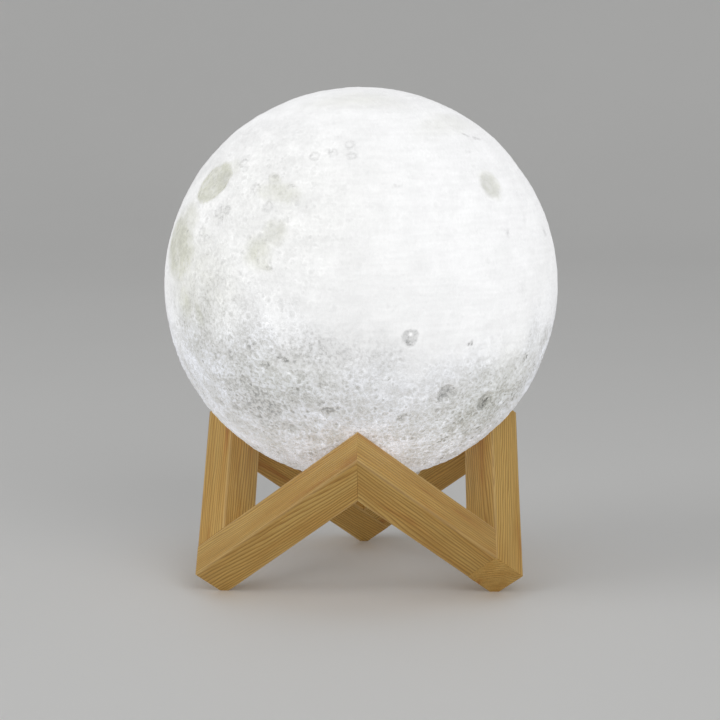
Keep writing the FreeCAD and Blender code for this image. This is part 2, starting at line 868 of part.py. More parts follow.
def main():
    parts = make_stand() + [make_shell()] + make_light_module()
    doc.recompute()
    check(parts)
    os.makedirs("parts", exist_ok=True)
    for part in parts:
        part.Shape.exportStep(f"parts/{part.Label}.step")
        box = part.Shape.BoundBox
        print(
            f"{part.Label:20s} solids {len(part.Shape.Solids)}  volume {part.Shape.Volume:10.1f} mm3  "
            f"x {box.XMin:7.2f} {box.XMax:7.2f}  y {box.YMin:7.2f} {box.YMax:7.2f}  "
            f"z {box.ZMin:7.2f} {box.ZMax:7.2f}"
        )
    print(f"{len(parts)} nodes; globe centre {number(GLOBE_Z):.3f}, base face {number(BASE_Z):.3f} mm up")


main()
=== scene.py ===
# %% [markdown]
# # A moon lamp on a wooden stand
# The lamp is a hollow globe, printed with the moon's craters and lit from inside. It lies loose on three
# V-shaped pairs of wooden rails that meet like the edges of a cube standing on its corner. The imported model
# gives every piece its place and size. This notebook gives the pieces their looks, and it is read from the
# top: helpers, stage and camera, then the wood, the globe and the small parts of the light module.

# %% Load the frame
import json
import math

import bmesh
import bpy
import numpy as np
from mathutils import Matrix, Vector, noise


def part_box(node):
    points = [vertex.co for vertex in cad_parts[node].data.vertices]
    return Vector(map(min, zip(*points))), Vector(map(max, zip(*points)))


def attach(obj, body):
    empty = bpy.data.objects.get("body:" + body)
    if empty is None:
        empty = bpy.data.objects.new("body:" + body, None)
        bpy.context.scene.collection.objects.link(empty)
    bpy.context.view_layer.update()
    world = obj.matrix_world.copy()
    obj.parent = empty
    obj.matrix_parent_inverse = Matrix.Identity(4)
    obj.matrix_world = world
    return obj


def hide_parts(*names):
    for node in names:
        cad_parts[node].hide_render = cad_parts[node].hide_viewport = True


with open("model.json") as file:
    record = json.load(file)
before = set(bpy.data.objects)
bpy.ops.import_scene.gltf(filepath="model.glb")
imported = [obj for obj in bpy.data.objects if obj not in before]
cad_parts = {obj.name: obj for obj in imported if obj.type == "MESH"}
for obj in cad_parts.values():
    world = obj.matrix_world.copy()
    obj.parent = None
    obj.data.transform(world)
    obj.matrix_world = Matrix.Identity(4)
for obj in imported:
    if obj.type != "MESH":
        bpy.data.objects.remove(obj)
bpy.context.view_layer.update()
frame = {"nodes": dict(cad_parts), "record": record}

MM = 0.001  # one millimetre, in the scene's metres

# %% [markdown]
# ## Where the stand and the globe are
# The stand follows the edges of a cube on its corner, so its shape needs only a reach, a width and a
# thickness. They could be measured from each rail's box, but the boxes of tilted rails hide them, so they are
# named here and checked against the frame. The globe's centre comes straight from the shell's own box.

# %% Driving sizes
REACH = 72.0 * MM  # inner cube corner to the outer end of a rail
WIDTH = 15.0 * MM
THICKNESS = 14.5 * MM
FOOT_TRIM = 1.5 * MM
CORNER = Vector((0, 0, (2 * THICKNESS + WIDTH - REACH) / math.sqrt(3) - FOOT_TRIM))

GLOBE_RADIUS = 75.0 * MM
WALL = 2.0 * MM
OPENING_RADIUS = 20.0 * MM
shell_low, shell_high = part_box("moon_shell")
GLOBE_CENTRE = Vector((0, 0, shell_high.z - GLOBE_RADIUS))
RIM_HEIGHT = shell_low.z - GLOBE_CENTRE.z  # the flat rim, measured from the globe's centre
print("globe centre", round(GLOBE_CENTRE.z / MM, 2), "mm up, rim", round(RIM_HEIGHT / MM, 2), "mm from it")

# %% [markdown]
# ## Small helpers for shader nodes
# Every finish below is a chain of procedural nodes. Written out in full, each node takes several lines, so
# a few helpers add a node, fill its inputs and do arithmetic. They keep a finish readable as a recipe: where
# the pattern is measured, what is added to it, and which socket it feeds.

# %% Node helpers
def feed(tree, node, inputs):
    """Fill a node's inputs: a socket is linked, and anything else is set."""
    for key, value in inputs.items():
        if isinstance(value, bpy.types.NodeSocket):
            tree.links.new(value, node.inputs[key])
        else:
            node.inputs[key].default_value = value


def add(tree, kind, inputs=None, **settings):
    """Add a shader node, set its options and fill its inputs."""
    made = tree.nodes.new(f"ShaderNode{kind}")
    for name, value in settings.items():
        setattr(made, name, value)
    feed(tree, made, inputs or {})
    return made


def sums(tree, operation, *values, clamp=False):
    """One step of arithmetic on numbers or sockets."""
    made = add(tree, "Math", dict(enumerate(values)), operation=operation, use_clamp=clamp)
    return made.outputs[0]


def times(tree, first, second):
    """Product of two numbers or sockets."""
    return sums(tree, "MULTIPLY", first, second)


def weighted(tree, *pairs):
    """Sum of values times weights, given as (value, weight) pairs."""
    total = 0.0
    for value, weight in pairs:
        total = sums(tree, "MULTIPLY_ADD", value, weight, total)
    return total


def fade(tree, value, start, end, low=0.0, high=1.0):
    """A soft step: low up to start, high from end on."""
    inputs = {"Value": value, "From Min": start, "From Max": end, "To Min": low, "To Max": high}
    made = add(tree, "MapRange", inputs, interpolation_type="SMOOTHSTEP")
    return made.outputs["Result"]


def swing(tree, value, low, high):
    """Noise stretched to a swing from -1 to 1."""
    return fade(tree, value, low, high, -1.0, 1.0)


def length_of(tree, vector):
    """Length of a vector."""
    return add(tree, "VectorMath", {0: vector}, operation="LENGTH").outputs["Value"]


def blend(tree, amount, first, second, mode="MIX"):
    """Mix two colours by an amount from 0 to 1."""
    inputs = {0: amount, 6: first, 7: second}
    made = add(tree, "Mix", inputs, data_type="RGBA", blend_type=mode, clamp_result=False)
    return made.outputs[2]


def brightened(tree, tone, factor):
    """A colour times a factor, which may be above 1."""
    return add(tree, "VectorMath", {0: tone, "Scale": factor}, operation="SCALE").outputs[0]


def grainy(tree, where, scale, detail=3.0, roughness=0.5):
    """Noise from about 0.3 to 0.7, measured at the given place."""
    inputs = {"Vector": where, "Scale": scale, "Detail": detail, "Roughness": roughness}
    return add(tree, "TexNoise", inputs).outputs["Fac"]


def bumped(tree, height, strength=1.0):
    """Normals for a height in millimetres."""
    inputs = {"Height": height, "Distance": MM, "Strength": strength}
    return add(tree, "Bump", inputs).outputs["Normal"]


def colour(red, green, blue):
    """A linear colour from the 0 to 255 values that a colour picker shows."""
    linear = []
    for value in (red, green, blue):
        share = value / 255
        linear.append(share / 12.92 if share <= 0.04045 else ((share + 0.055) / 1.055) ** 2.4)
    return (*linear, 1.0)


def own_axes(tree, where, centre, turn, scale):
    """A place measured from a centre, along axes turned with it, in units of the scale."""
    inputs = {"Vector": where, "Location": centre, "Rotation": turn, "Scale": scale}
    return add(tree, "Mapping", inputs, vector_type="TEXTURE").outputs["Vector"]


def centred(tree, centre=(0, 0, 0), turn=(0, 0, 0)):
    """Object coordinates in millimetres from a centre, along axes turned with it."""
    return own_axes(tree, add(tree, "TexCoord").outputs["Object"], centre, turn, (MM, MM, MM))


def stretched(tree, where, scale, shift=(0, 0, 0)):
    """The same place with its axes scaled, for a pattern that runs one way."""
    return add(tree, "Mapping", {"Vector": where, "Location": shift, "Scale": scale}).outputs["Vector"]


print("node helpers ready")

# %% Finish and mesh helpers
def new_finish(name):
    """A new material and its node tree."""
    material = bpy.data.materials.new(name)
    material.use_nodes = True
    return material, material.node_tree


def dress(material, base, roughness, height=None, others=None):
    """Give a finish its colour, roughness, height in mm and other inputs."""
    tree = material.node_tree
    inputs = {"Base Color": base, "Roughness": roughness, **(others or {})}
    if height is not None:
        inputs["Normal"] = bumped(tree, height)
    feed(tree, tree.nodes["Principled BSDF"], inputs)
    return material


def as_object(bm, name, sharp_from=180):
    """Make a finished bmesh an object, smooth but for edges that turn by more than an angle in degrees."""
    for face in bm.faces:
        face.smooth = True
    for edge in bm.edges:
        edge.smooth = edge.calc_face_angle(0) < math.radians(sharp_from)
    mesh = bpy.data.meshes.new(name)
    bm.to_mesh(mesh)
    bm.free()
    made = bpy.data.objects.new(name, mesh)
    bpy.context.collection.objects.link(made)
    return made


print("finish and mesh helpers ready")

# %% [markdown]
# ## Stage, light and camera
# The lamp stands on a plain pale floor under soft studio light. A lit globe is nearly white, so it would be
# lost against a white room. The floor and the far background are a mid pale grey instead, which leaves its
# outline and its glow easy to see. The floor is a shallow turned dish whose rim curves up, so that no horizon
# line shows from any side. Light comes from the even world and from one broad lamp at the front right, with
# a weaker one at the left, and their sum stays low enough for the white print to keep its tones.

# %% Floor and world
FLOOR_RADIUS = 2.2
FLOOR_RISE = 0.9
FLOOR_CURVE_STEPS = 16
BACKGROUND = colour(190, 190, 189)
WORLD_LIGHT = 0.4


def make_floor():
    """Turned dish: a flat disc whose rim curves up into a wall."""
    bm = bmesh.new()
    profile = [bm.verts.new((0, 0, 0)), bm.verts.new((FLOOR_RADIUS - FLOOR_RISE, 0, 0))]
    for step in range(1, FLOOR_CURVE_STEPS + 1):
        angle = math.pi / 2 * step / FLOOR_CURVE_STEPS
        across = FLOOR_RADIUS - FLOOR_RISE + FLOOR_RISE * math.sin(angle)
        profile.append(bm.verts.new((across, 0, FLOOR_RISE * (1 - math.cos(angle)))))
    edges = [bm.edges.new(pair) for pair in zip(profile, profile[1:])]
    turn = {"cent": (0, 0, 0), "axis": (0, 0, 1), "angle": math.tau, "steps": 96}
    bmesh.ops.spin(bm, geom=profile + edges, use_merge=True, **turn)
    bmesh.ops.remove_doubles(bm, verts=bm.verts, dist=1e-6)
    bmesh.ops.recalc_face_normals(bm, faces=bm.faces)
    if bm.faces[0].normal.z < 0:
        bmesh.ops.reverse_faces(bm, faces=bm.faces)
    return as_object(bm, "studio_floor")


def floor_paint():
    """Matt grey paint with a faint, broad mottling."""
    material, tree = new_finish("floor_paint")
    patch = grainy(tree, add(tree, "TexCoord").outputs["Object"], 3.0)
    tone = blend(tree, patch, colour(226, 226, 225), colour(232, 232, 231))
    return dress(material, tone, 0.55, others={"Specular IOR Level": 0.25})


def light_world(strength):
    """Even light, behind which the camera sees the plain background."""
    world = bpy.data.worlds.new("studio_world")
    bpy.context.scene.world = world
    world.use_nodes = True
    tree = world.node_tree
    even = tree.nodes["Background"]
    feed(tree, even, {"Color": (1, 1, 1, 1), "Strength": strength})
    seen = add(tree, "Background", {"Color": BACKGROUND, "Strength": 1.0})
    path = add(tree, "LightPath").outputs
    direct = sums(tree, "MAXIMUM", path["Is Camera Ray"], path["Is Glossy Ray"])
    direct = sums(tree, "MAXIMUM", direct, path["Is Transmission Ray"])
    choice = add(tree, "MixShader", {0: direct, 1: even.outputs[0], 2: seen.outputs[0]})
    feed(tree, tree.nodes["World Output"], {"Surface": choice.outputs[0]})


floor = make_floor()
floor.data.materials.append(floor_paint())
light_world(WORLD_LIGHT)
print("floor faces:", len(floor.data.polygons))

# %% Lamps
LAMP_AIM = Vector((0, 0, 0.09))
# Place and width in metres, and power in watts.
LAMPS = {"key_lamp": ((0.6, -1.35, 1.05), 1.1, 6.4), "fill_lamp": ((-1.3, -0.6, 0.9), 0.9, 5.0)}


def add_lamp(name, place, size, power):
    """A square area lamp that faces the object."""
    light = bpy.data.lights.new(name, "AREA")
    light.size = size
    light.energy = power
    lamp = bpy.data.objects.new(name, light)
    bpy.context.collection.objects.link(lamp)
    lamp.location = place
    lamp.rotation_euler = (LAMP_AIM - Vector(place)).to_track_quat("-Z", "Y").to_euler()


for name, (place, size, power) in LAMPS.items():
    add_lamp(name, place, size, power)
print("lamps:", ", ".join(LAMPS))

# %% Camera
CAMERA_DISTANCE = 0.8937
CAMERA_HEIGHT = 0.2086
CAMERA_PITCH = 7.98  # degrees down
CAMERA_SIDE = 1.12  # degrees round towards +X
CAMERA_TURN = 0.023  # degrees to the left of the lamp's axis
LENS = 117.8


def place_camera():
    """A long lens, a little above the globe's top and a little to the right of square."""
    data = bpy.data.cameras.new("camera")
    data.lens = LENS
    data.sensor_width = 36.0
    camera = bpy.data.objects.new("camera", data)
    bpy.context.collection.objects.link(camera)
    side = math.radians(CAMERA_SIDE)
    camera.location = (CAMERA_DISTANCE * math.sin(side), -CAMERA_DISTANCE * math.cos(side), CAMERA_HEIGHT)
    camera.rotation_euler = (math.radians(90 - CAMERA_PITCH), 0, side + math.radians(CAMERA_TURN))
    bpy.context.scene.camera = camera
    return camera


camera = place_camera()
bpy.context.scene.view_settings.view_transform = "Standard"
print("camera at", tuple(round(value, 3) for value in camera.location))

# %% [markdown]
# ## The six rails
# The stand is cut from one planed batten. At each apex two rails meet in a mitre, and at each foot one rail
# runs through to the table while its neighbour stops square against it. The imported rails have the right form
# with flat chamfers. They are made again here, because a hand-sanded batten has small round edges that catch
# the light, and a fine groove shows where two glued pieces meet. Each rail starts as a cube. It is stretched
# in the pair's own frame, cut on the mitre, bevelled in two sizes, turned into place and trimmed at the foot.

# %% Rail geometry
ROUNDING = 0.42 * MM  # along the batten
GROOVE = 0.18 * MM  # round its cut ends


def pair_axes(turn):
    """The pair's own axes: two rising cube edges that the rails follow, and the third behind them."""
    axes = []
    for azimuth in (-60, 60, 180):
        angle = math.radians(azimuth + 120 * turn)
        flat = math.sqrt(2 / 3)
        axes.append(Vector((flat * math.sin(angle), -flat * math.cos(angle), 1 / math.sqrt(3))))
    return axes


def frame_matrix(axes):
    """Rotation whose columns are the given axes."""
    return Matrix(axes).transposed()


def rail_box(bm, low, high):
    """A cube stretched between two corners."""
    middle = (Vector(low) + Vector(high)) / 2
    size = Vector(high) - Vector(low)
    place = Matrix.Translation(middle) @ Matrix.Diagonal((*size, 1))
    bmesh.ops.create_cube(bm, size=1.0, matrix=place)


def cut_away(bm, point, normal):
    """Cut along a plane, drop what lies beyond it and close the cut."""
    everything = bm.verts[:] + bm.edges[:] + bm.faces[:]
    bmesh.ops.bisect_plane(bm, geom=everything, plane_co=point, plane_no=normal, clear_outer=True)
    bmesh.ops.holes_fill(bm, edges=[edge for edge in bm.edges if edge.is_boundary])


def round_edges(bm, edges, width, steps):
    """Bevel some edges into rounds of a few steps."""
    shape = {"offset": width, "segments": steps, "profile": 0.5, "affect": "EDGES", "material": -1}
    bmesh.ops.bevel(bm, geom=edges, **shape)


def make_rail(name, turn, runs_through):
    """One rail of a pair; the one that runs through follows the pair's Y axis, the other its X axis."""
    bm = bmesh.new()
    inner = REACH - WIDTH
    along = Vector((0, 1, 0)) if runs_through else Vector((1, 0, 0))
    if runs_through:
        rail_box(bm, (inner, -THICKNESS, -THICKNESS), (REACH, REACH, 0))
        cut_away(bm, (0, 0, 0), (-1, 1, 0))
    else:
        rail_box(bm, (0, inner, -THICKNESS), (REACH, REACH, 0))
        cut_away(bm, (0, 0, 0), (1, -1, 0))

    long_edges = []
    for edge in bm.edges:
        direction = (edge.verts[1].co - edge.verts[0].co).normalized()
        if abs(direction.dot(along)) > 0.99:
            long_edges.append(edge)
    round_edges(bm, long_edges, ROUNDING, 4)
    ends = [face for face in bm.faces if abs(face.normal.dot(along)) > 0.5 and len(face.verts) > 4]
    round_edges(bm, list({edge for face in ends for edge in face.edges}), GROOVE, 2)

    axes = pair_axes(turn)
    place = Matrix.Translation(CORNER) @ frame_matrix(axes).to_4x4()
    bmesh.ops.transform(bm, matrix=place, verts=bm.verts)
    if runs_through:
        cut_away(bm, (0, 0, 0), (0, 0, -1))
    return as_object(bm, name, 35)


RAILS = [
    ("rail_front_left", 0, True),
    ("rail_front_right", 0, False),
    ("rail_right_front", 1, True),
    ("rail_right_back", 1, False),
    ("rail_left_back", 2, True),
    ("rail_left_front", 2, False),
]
rails = {}
for node, turn, runs_through in RAILS:
    rail = make_rail(f"wood_{node}", turn, runs_through)
    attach(rail, "stand")
    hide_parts(node)
    rails[node] = rail
    low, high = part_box(node)
    made = np.array([vertex.co for vertex in rail.data.vertices])
    gap = max(np.abs(made.min(0) - low).max(), np.abs(made.max(0) - high).max()) / MM
    print(f"{rail.name}: {len(rail.data.polygons)} faces, its box is within {gap:.2f} mm of the frame's")

# %% [markdown]
# ## Pine
# Planed softwood shows its growth rings as pale bands that darken slowly and end in a thin hard line, with
# long fibres, a few dark streaks of resin and edges worn paler by sanding. A flat striped texture would break
# at the corners and at the mitres. Here the pattern is solid: rings about a pith that lies beside the
# batten, measured in each rail's own millimetres, so the lines run along every rail, turn the corner onto its
# sides, make arcs on its cut ends and meet as chevrons at the apex, as they do in wood.

# %% Wood finish
RING_SPACING = 0.85  # mm from one hard line to the next
PITH_LEAN = (0, 0.035, -0.03)  # radians between the pith and the grain
PITH_SCALE = (12.0, 1.0, 1.0)  # counts lengths along the grain less, so that the rings are long
SWAY = 5.0  # mm that a ring wanders
# Scales of noise along and across the grain, for the rings' sway, the fibres and the broad patches.
SWAY_SCALE = (0.012, 0.07, 0.07)
FIBRE_SCALE = (0.05, 2.6, 2.6)
PATCH_SCALE = (0.02, 0.16, 0.16)
PALE_WOOD = colour(223, 185, 107)
DEEP_WOOD = colour(211, 166, 87)
HARD_LINE = colour(177, 127, 57)
RESIN = colour(176, 112, 52)
SANDED = colour(222, 190, 134)


def growth_rings(tree, where, pith, seed):
    """Share of hard wood, from 0 to 1, in rings about a pith that leans a little off the grain."""
    distance = length_of(tree, own_axes(tree, where, pith, PITH_LEAN, PITH_SCALE))
    sway = grainy(tree, stretched(tree, where, SWAY_SCALE, (seed, 0, 0)), 1.0, 3.0)
    ring = sums(tree, "DIVIDE", sums(tree, "ADD", distance, times(tree, sway, SWAY)), RING_SPACING)
    phase = sums(tree, "FRACT", ring)
    slow = fade(tree, phase, 0.25, 0.86)
    quick = fade(tree, phase, 0.9, 1.0, 1.0, 0.0)
    return times(tree, slow, quick)


def edge_wear(tree, where, section):
    """One along the batten's long edges, where sanding thins the colour."""
    parts = add(tree, "SeparateXYZ", {0: where}).outputs
    depths = []
    for axis, (middle, half) in enumerate(section, start=1):
        offset = sums(tree, "SUBTRACT", parts[axis], middle)
        depths.append(sums(tree, "SUBTRACT", half, sums(tree, "ABSOLUTE", offset)))
    nearest_but_one = sums(tree, "MAXIMUM", depths[0], depths[1])
    return fade(tree, nearest_but_one, 1.3, 0.3)


def pine(name, axes, section, pith, seed):
    """Pine for one rail. The section holds a middle and a half size for both axes across the grain, in mm."""
    material, tree = new_finish(name)
    where = centred(tree, CORNER, frame_matrix(axes).to_euler())
    hard = growth_rings(tree, where, pith, seed)
    fibres = grainy(tree, stretched(tree, where, FIBRE_SCALE, (seed, seed, 0)), 1.0, 5.0, 0.65)
    patch = grainy(tree, stretched(tree, where, PATCH_SCALE, (seed, 2 * seed, 0)), 1.0, 3.0)

    base = blend(tree, fade(tree, patch, 0.35, 0.68), PALE_WOOD, DEEP_WOOD)
    base = blend(tree, times(tree, hard, 0.8), base, HARD_LINE)
    base = blend(tree, times(tree, fade(tree, patch, 0.6, 0.72), 0.65), base, RESIN)
    base = brightened(tree, base, fade(tree, fibres, 0.32, 0.7, 0.84, 1.1))
    base = blend(tree, times(tree, edge_wear(tree, where, section), 0.35), base, SANDED)

    satin = sums(tree, "ADD", times(tree, hard, -0.08), fade(tree, fibres, 0.3, 0.7, 0.62, 0.5))
    relief = sums(tree, "ADD", times(tree, hard, 0.05), times(tree, fibres, 0.09))
    return dress(material, base, satin, relief, {"Specular IOR Level": 0.4})


def rail_pine(node, turn, runs_through, seed):
    """Pine turned into the rail's own frame, with its first axis along the grain."""
    across, along, behind = pair_axes(turn)
    thick = (-THICKNESS / 2 / MM, THICKNESS / 2 / MM)
    wide = ((REACH - WIDTH / 2) / MM, WIDTH / 2 / MM)
    if runs_through:
        pith = (30.0, 36.0, wide[0] + 40.0)
        return pine(f"pine_{node}", (along, behind, across), (thick, wide), pith, seed)
    pith = (34.0, wide[0] - 38.0, 34.0)
    return pine(f"pine_{node}", (across, along, behind), (wide, thick), pith, seed)


for seed, (node, turn, runs_through) in enumerate(RAILS, start=1):
    rails[node].data.materials.append(rail_pine(node, turn, runs_through, 3.7 * seed))
print("pine on", len(rails), "rails")

# %% [markdown]
# ## The printed globe
# The real globe is printed in thin layers from a height map, so its craters are real dents with raised rims,
# and they roughen its outline. A sphere with a bump pattern would keep a perfect outline. Here an icosphere,
# whose triangles are all of one size, is pushed in and out in code: the same ten large craters as the packed
# shell, some two thousand scattered ones, low hills, and a grit that is strongest on the lower half, where
# the relief shows most. Most of that half is subdivided once more first. Then the ball is cut flat at the
# bottom, and its rim is extruded inwards, up the wall and round the inside as a closed shell.

# %% Crater list
# Longitude from the front towards +X and latitude, in degrees, then rim radius and depth in millimetres.
LARGE_CRATERS = {
    "dark_rimmed": (14.8, -8.6, 3.4, 0.9),
    "right_spot": (48.8, 32.8, 4.6, 0.7),
    "low_right": (28.3, -26.2, 4, 0.8),
    "low_edge": (45.6, -30.1, 4.6, 0.8),
    "oval_basin": (-55.6, 32.5, 7.5, 0.9),
    "far_east": (118, 18, 6, 0.9),
    "far_south": (168, -16, 7, 1),
    "far_north": (150, 48, 5, 0.8),
    "far_west": (-136, 28, 5, 0.8),
    "west": (-108, -24, 6.5, 0.9),
}
# Scattered craters: how many are tried, smallest and largest rim radius in mm, and depth over radius.
SCATTERED = {"wide": (70, 4.0, 8.0, 0.07), "middle": (650, 1.8, 4.0, 0.13), "small": (2600, 0.9, 1.8, 0.17)}
SEED = 11


def outward(longitude, latitude):
    """Unit vector from the globe's centre."""
    turn, rise = math.radians(longitude), math.radians(latitude)
    return Vector((math.cos(rise) * math.sin(turn), -math.cos(rise) * math.cos(turn), math.sin(rise)))


def step_up(values, start, end):
    """Soft step from 0 to 1 on an array."""
    share = np.clip((values - start) / (end - start), 0, 1)
    return share * share * (3 - 2 * share)


def ruggedness(directions):
    """How rough the print is, from 0 to 1: most on the lower half and on the far side."""
    low = step_up(-directions[:, 2], -0.02, 0.3)
    far = step_up(directions[:, 1], 0.1, 0.7)
    return np.clip(0.22 + 0.78 * np.maximum(low, 0.8 * far), 0, 1)


def crater_list():
    """Every crater as (unit vector, rim radius, depth), in millimetres."""
    chance = np.random.default_rng(SEED)
    craters = []
    for longitude, latitude, radius, depth in LARGE_CRATERS.values():
        craters.append((np.array(outward(longitude, latitude)), radius, depth))
    for count, smallest, largest, steepness in SCATTERED.values():
        places = chance.normal(size=(count, 3))
        places /= np.linalg.norm(places, axis=1)[:, None]
        kept = chance.random(count) < ruggedness(places)
        sizes = smallest * (largest / smallest) ** (chance.random(count) ** 1.6)
        depths = sizes * steepness * chance.uniform(0.5, 1.0, count)
        craters += list(zip(places[kept], sizes[kept], depths[kept]))
    return craters


craters = crater_list()
print("craters:", len(craters))

# %% Height of the print
MEAN_DROP = 0.36  # mm that the mean surface lies inside the full radius
HIGHEST, LOWEST = 0.34, -1.1  # mm over and under the mean surface


def dent(heights, directions, place, radius, depth):
    """Press one crater into the heights: a bowl with a raised rim."""
    reach = 1.7 * radius / (GLOBE_RADIUS / MM)
    near = directions @ place > 1 - reach * reach / 2
    chord = np.linalg.norm(directions[near] - place, axis=1) * GLOBE_RADIUS / MM / radius
    bowl = -depth * np.clip(1 - chord**2, 0, None)
    rim = 0.32 * depth * np.exp(-(((chord - 1.05) / 0.24) ** 2))
    heights[near] += bowl + rim


def hills(direction, rough):
    """Low hills, and grit that is strongest where the print is rough."""
    broad = noise.fractal(Vector(direction) * 3.2, 0.9, 2.1, 4)
    grit = noise.fractal(Vector(direction) * 26.0, 0.7, 2.2, 3)
    return 0.3 * broad + 0.25 * max(rough, 0.6) * grit


def print_heights(directions):
    """Height of the print at each direction, and the craters' share of it, in millimetres."""
    rise = np.array([hills(*pair) for pair in zip(directions, ruggedness(directions))])
    pressed = np.zeros(len(directions))
    for place, radius, depth in craters:
        dent(pressed, directions, place, radius, depth)
    return np.clip(rise + pressed, LOWEST, HIGHEST), pressed


print("relief from", LOWEST, "to", HIGHEST, "mm about the mean")

# %% Globe mesh
FINE_FROM, FINE_TO = -0.9, -0.2  # share of the radius between which the mesh is subdivided once more
INNER_RINGS = 18


def carve_globe(bm):
    """Move an icosphere's vertices to the height of the print, and note the craters' share on each."""
    relief = bm.verts.layers.float.new("relief")
    directions = np.array([vertex.co.normalized() for vertex in bm.verts])
    for vertex, direction, height, pressed in zip(bm.verts, directions, *print_heights(directions)):
        radius = GLOBE_RADIUS + (height - MEAN_DROP) * MM
        vertex.co = Vector(direction) * radius
        vertex[relief] = pressed


def extrude_ring(bm, ring, radius, height):
    """Extrude a loop of edges and set the new loop on a level circle."""
    made = bmesh.ops.extrude_edge_only(bm, edges=ring)["geom"]
    for vertex in (item for item in made if isinstance(item, bmesh.types.BMVert)):
        around = Vector((vertex.co.x, vertex.co.y, 0)).normalized() * radius
        vertex.co = around + Vector((0, 0, height))
    return [item for item in made if isinstance(item, bmesh.types.BMEdge)]


def close_shell(bm):
    """From the cut edge: the flat rim, the bore through the wall, and the inner wall up to its pole."""
    inner = GLOBE_RADIUS - WALL
    start = math.acos(-math.sqrt(inner**2 - OPENING_RADIUS**2) / inner)
    ring = [edge for edge in bm.edges if edge.is_boundary]
    ring = extrude_ring(bm, ring, OPENING_RADIUS, RIM_HEIGHT)
    ring = extrude_ring(bm, ring, OPENING_RADIUS, inner * math.cos(start))
    for step in range(1, INNER_RINGS):
        angle = start * (1 - step / INNER_RINGS)
        ring = extrude_ring(bm, ring, inner * math.sin(angle), inner * math.cos(angle))
    top = bmesh.ops.extrude_edge_only(bm, edges=ring)["geom"]
    pole = [item for item in top if isinstance(item, bmesh.types.BMVert)]
    bmesh.ops.pointmerge(bm, verts=pole, merge_co=(0, 0, inner))


def make_globe():
    """The whole shell: ball, relief, cut at the bottom, bore and inner wall."""
    bm = bmesh.new()
    bmesh.ops.create_icosphere(bm, subdivisions=7, radius=GLOBE_RADIUS)
    levels = FINE_FROM * GLOBE_RADIUS, FINE_TO * GLOBE_RADIUS
    fine = [edge for edge in bm.edges if all(levels[0] < vertex.co.z < levels[1] for vertex in edge.verts)]
    bmesh.ops.subdivide_edges(bm, edges=fine, cuts=1, use_grid_fill=True)
    carve_globe(bm)
    everything = bm.verts[:] + bm.edges[:] + bm.faces[:]
    cut = {"plane_co": (0, 0, RIM_HEIGHT), "plane_no": (0, 0, -1), "clear_outer": True}
    bmesh.ops.bisect_plane(bm, geom=everything, **cut)
    close_shell(bm)
    bmesh.ops.triangulate(bm, faces=bm.faces)
    bmesh.ops.recalc_face_normals(bm, faces=bm.faces)
    bmesh.ops.translate(bm, vec=GLOBE_CENTRE, verts=bm.verts)
    open_edges = sum(not edge.is_manifold for edge in bm.edges)
    print("globe:", len(bm.faces), "triangles,", open_edges, "open edges")
    return as_object(bm, "moon_globe", 50)


globe = make_globe()
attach(globe, "globe")
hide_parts("moon_shell")

# %% [markdown]
# ## The moon's face
# White filament glows almost white where the wall is thin and a little grey and warm where it is thick: the
# dark seas, the crater floors and their rims. The pattern could be painted by vertex, but a crisp sea edge is
# finer than the mesh. So each sea is an invisible ellipsoid sunk into the globe. A mapping node turns it into
# a unit ball, and the distance from its middle, after a little noise has bent the space, gives the edge. The
# smaller pocks are cells of a Voronoi pattern, read as a bowl and a rim, and drive colour and bump together.

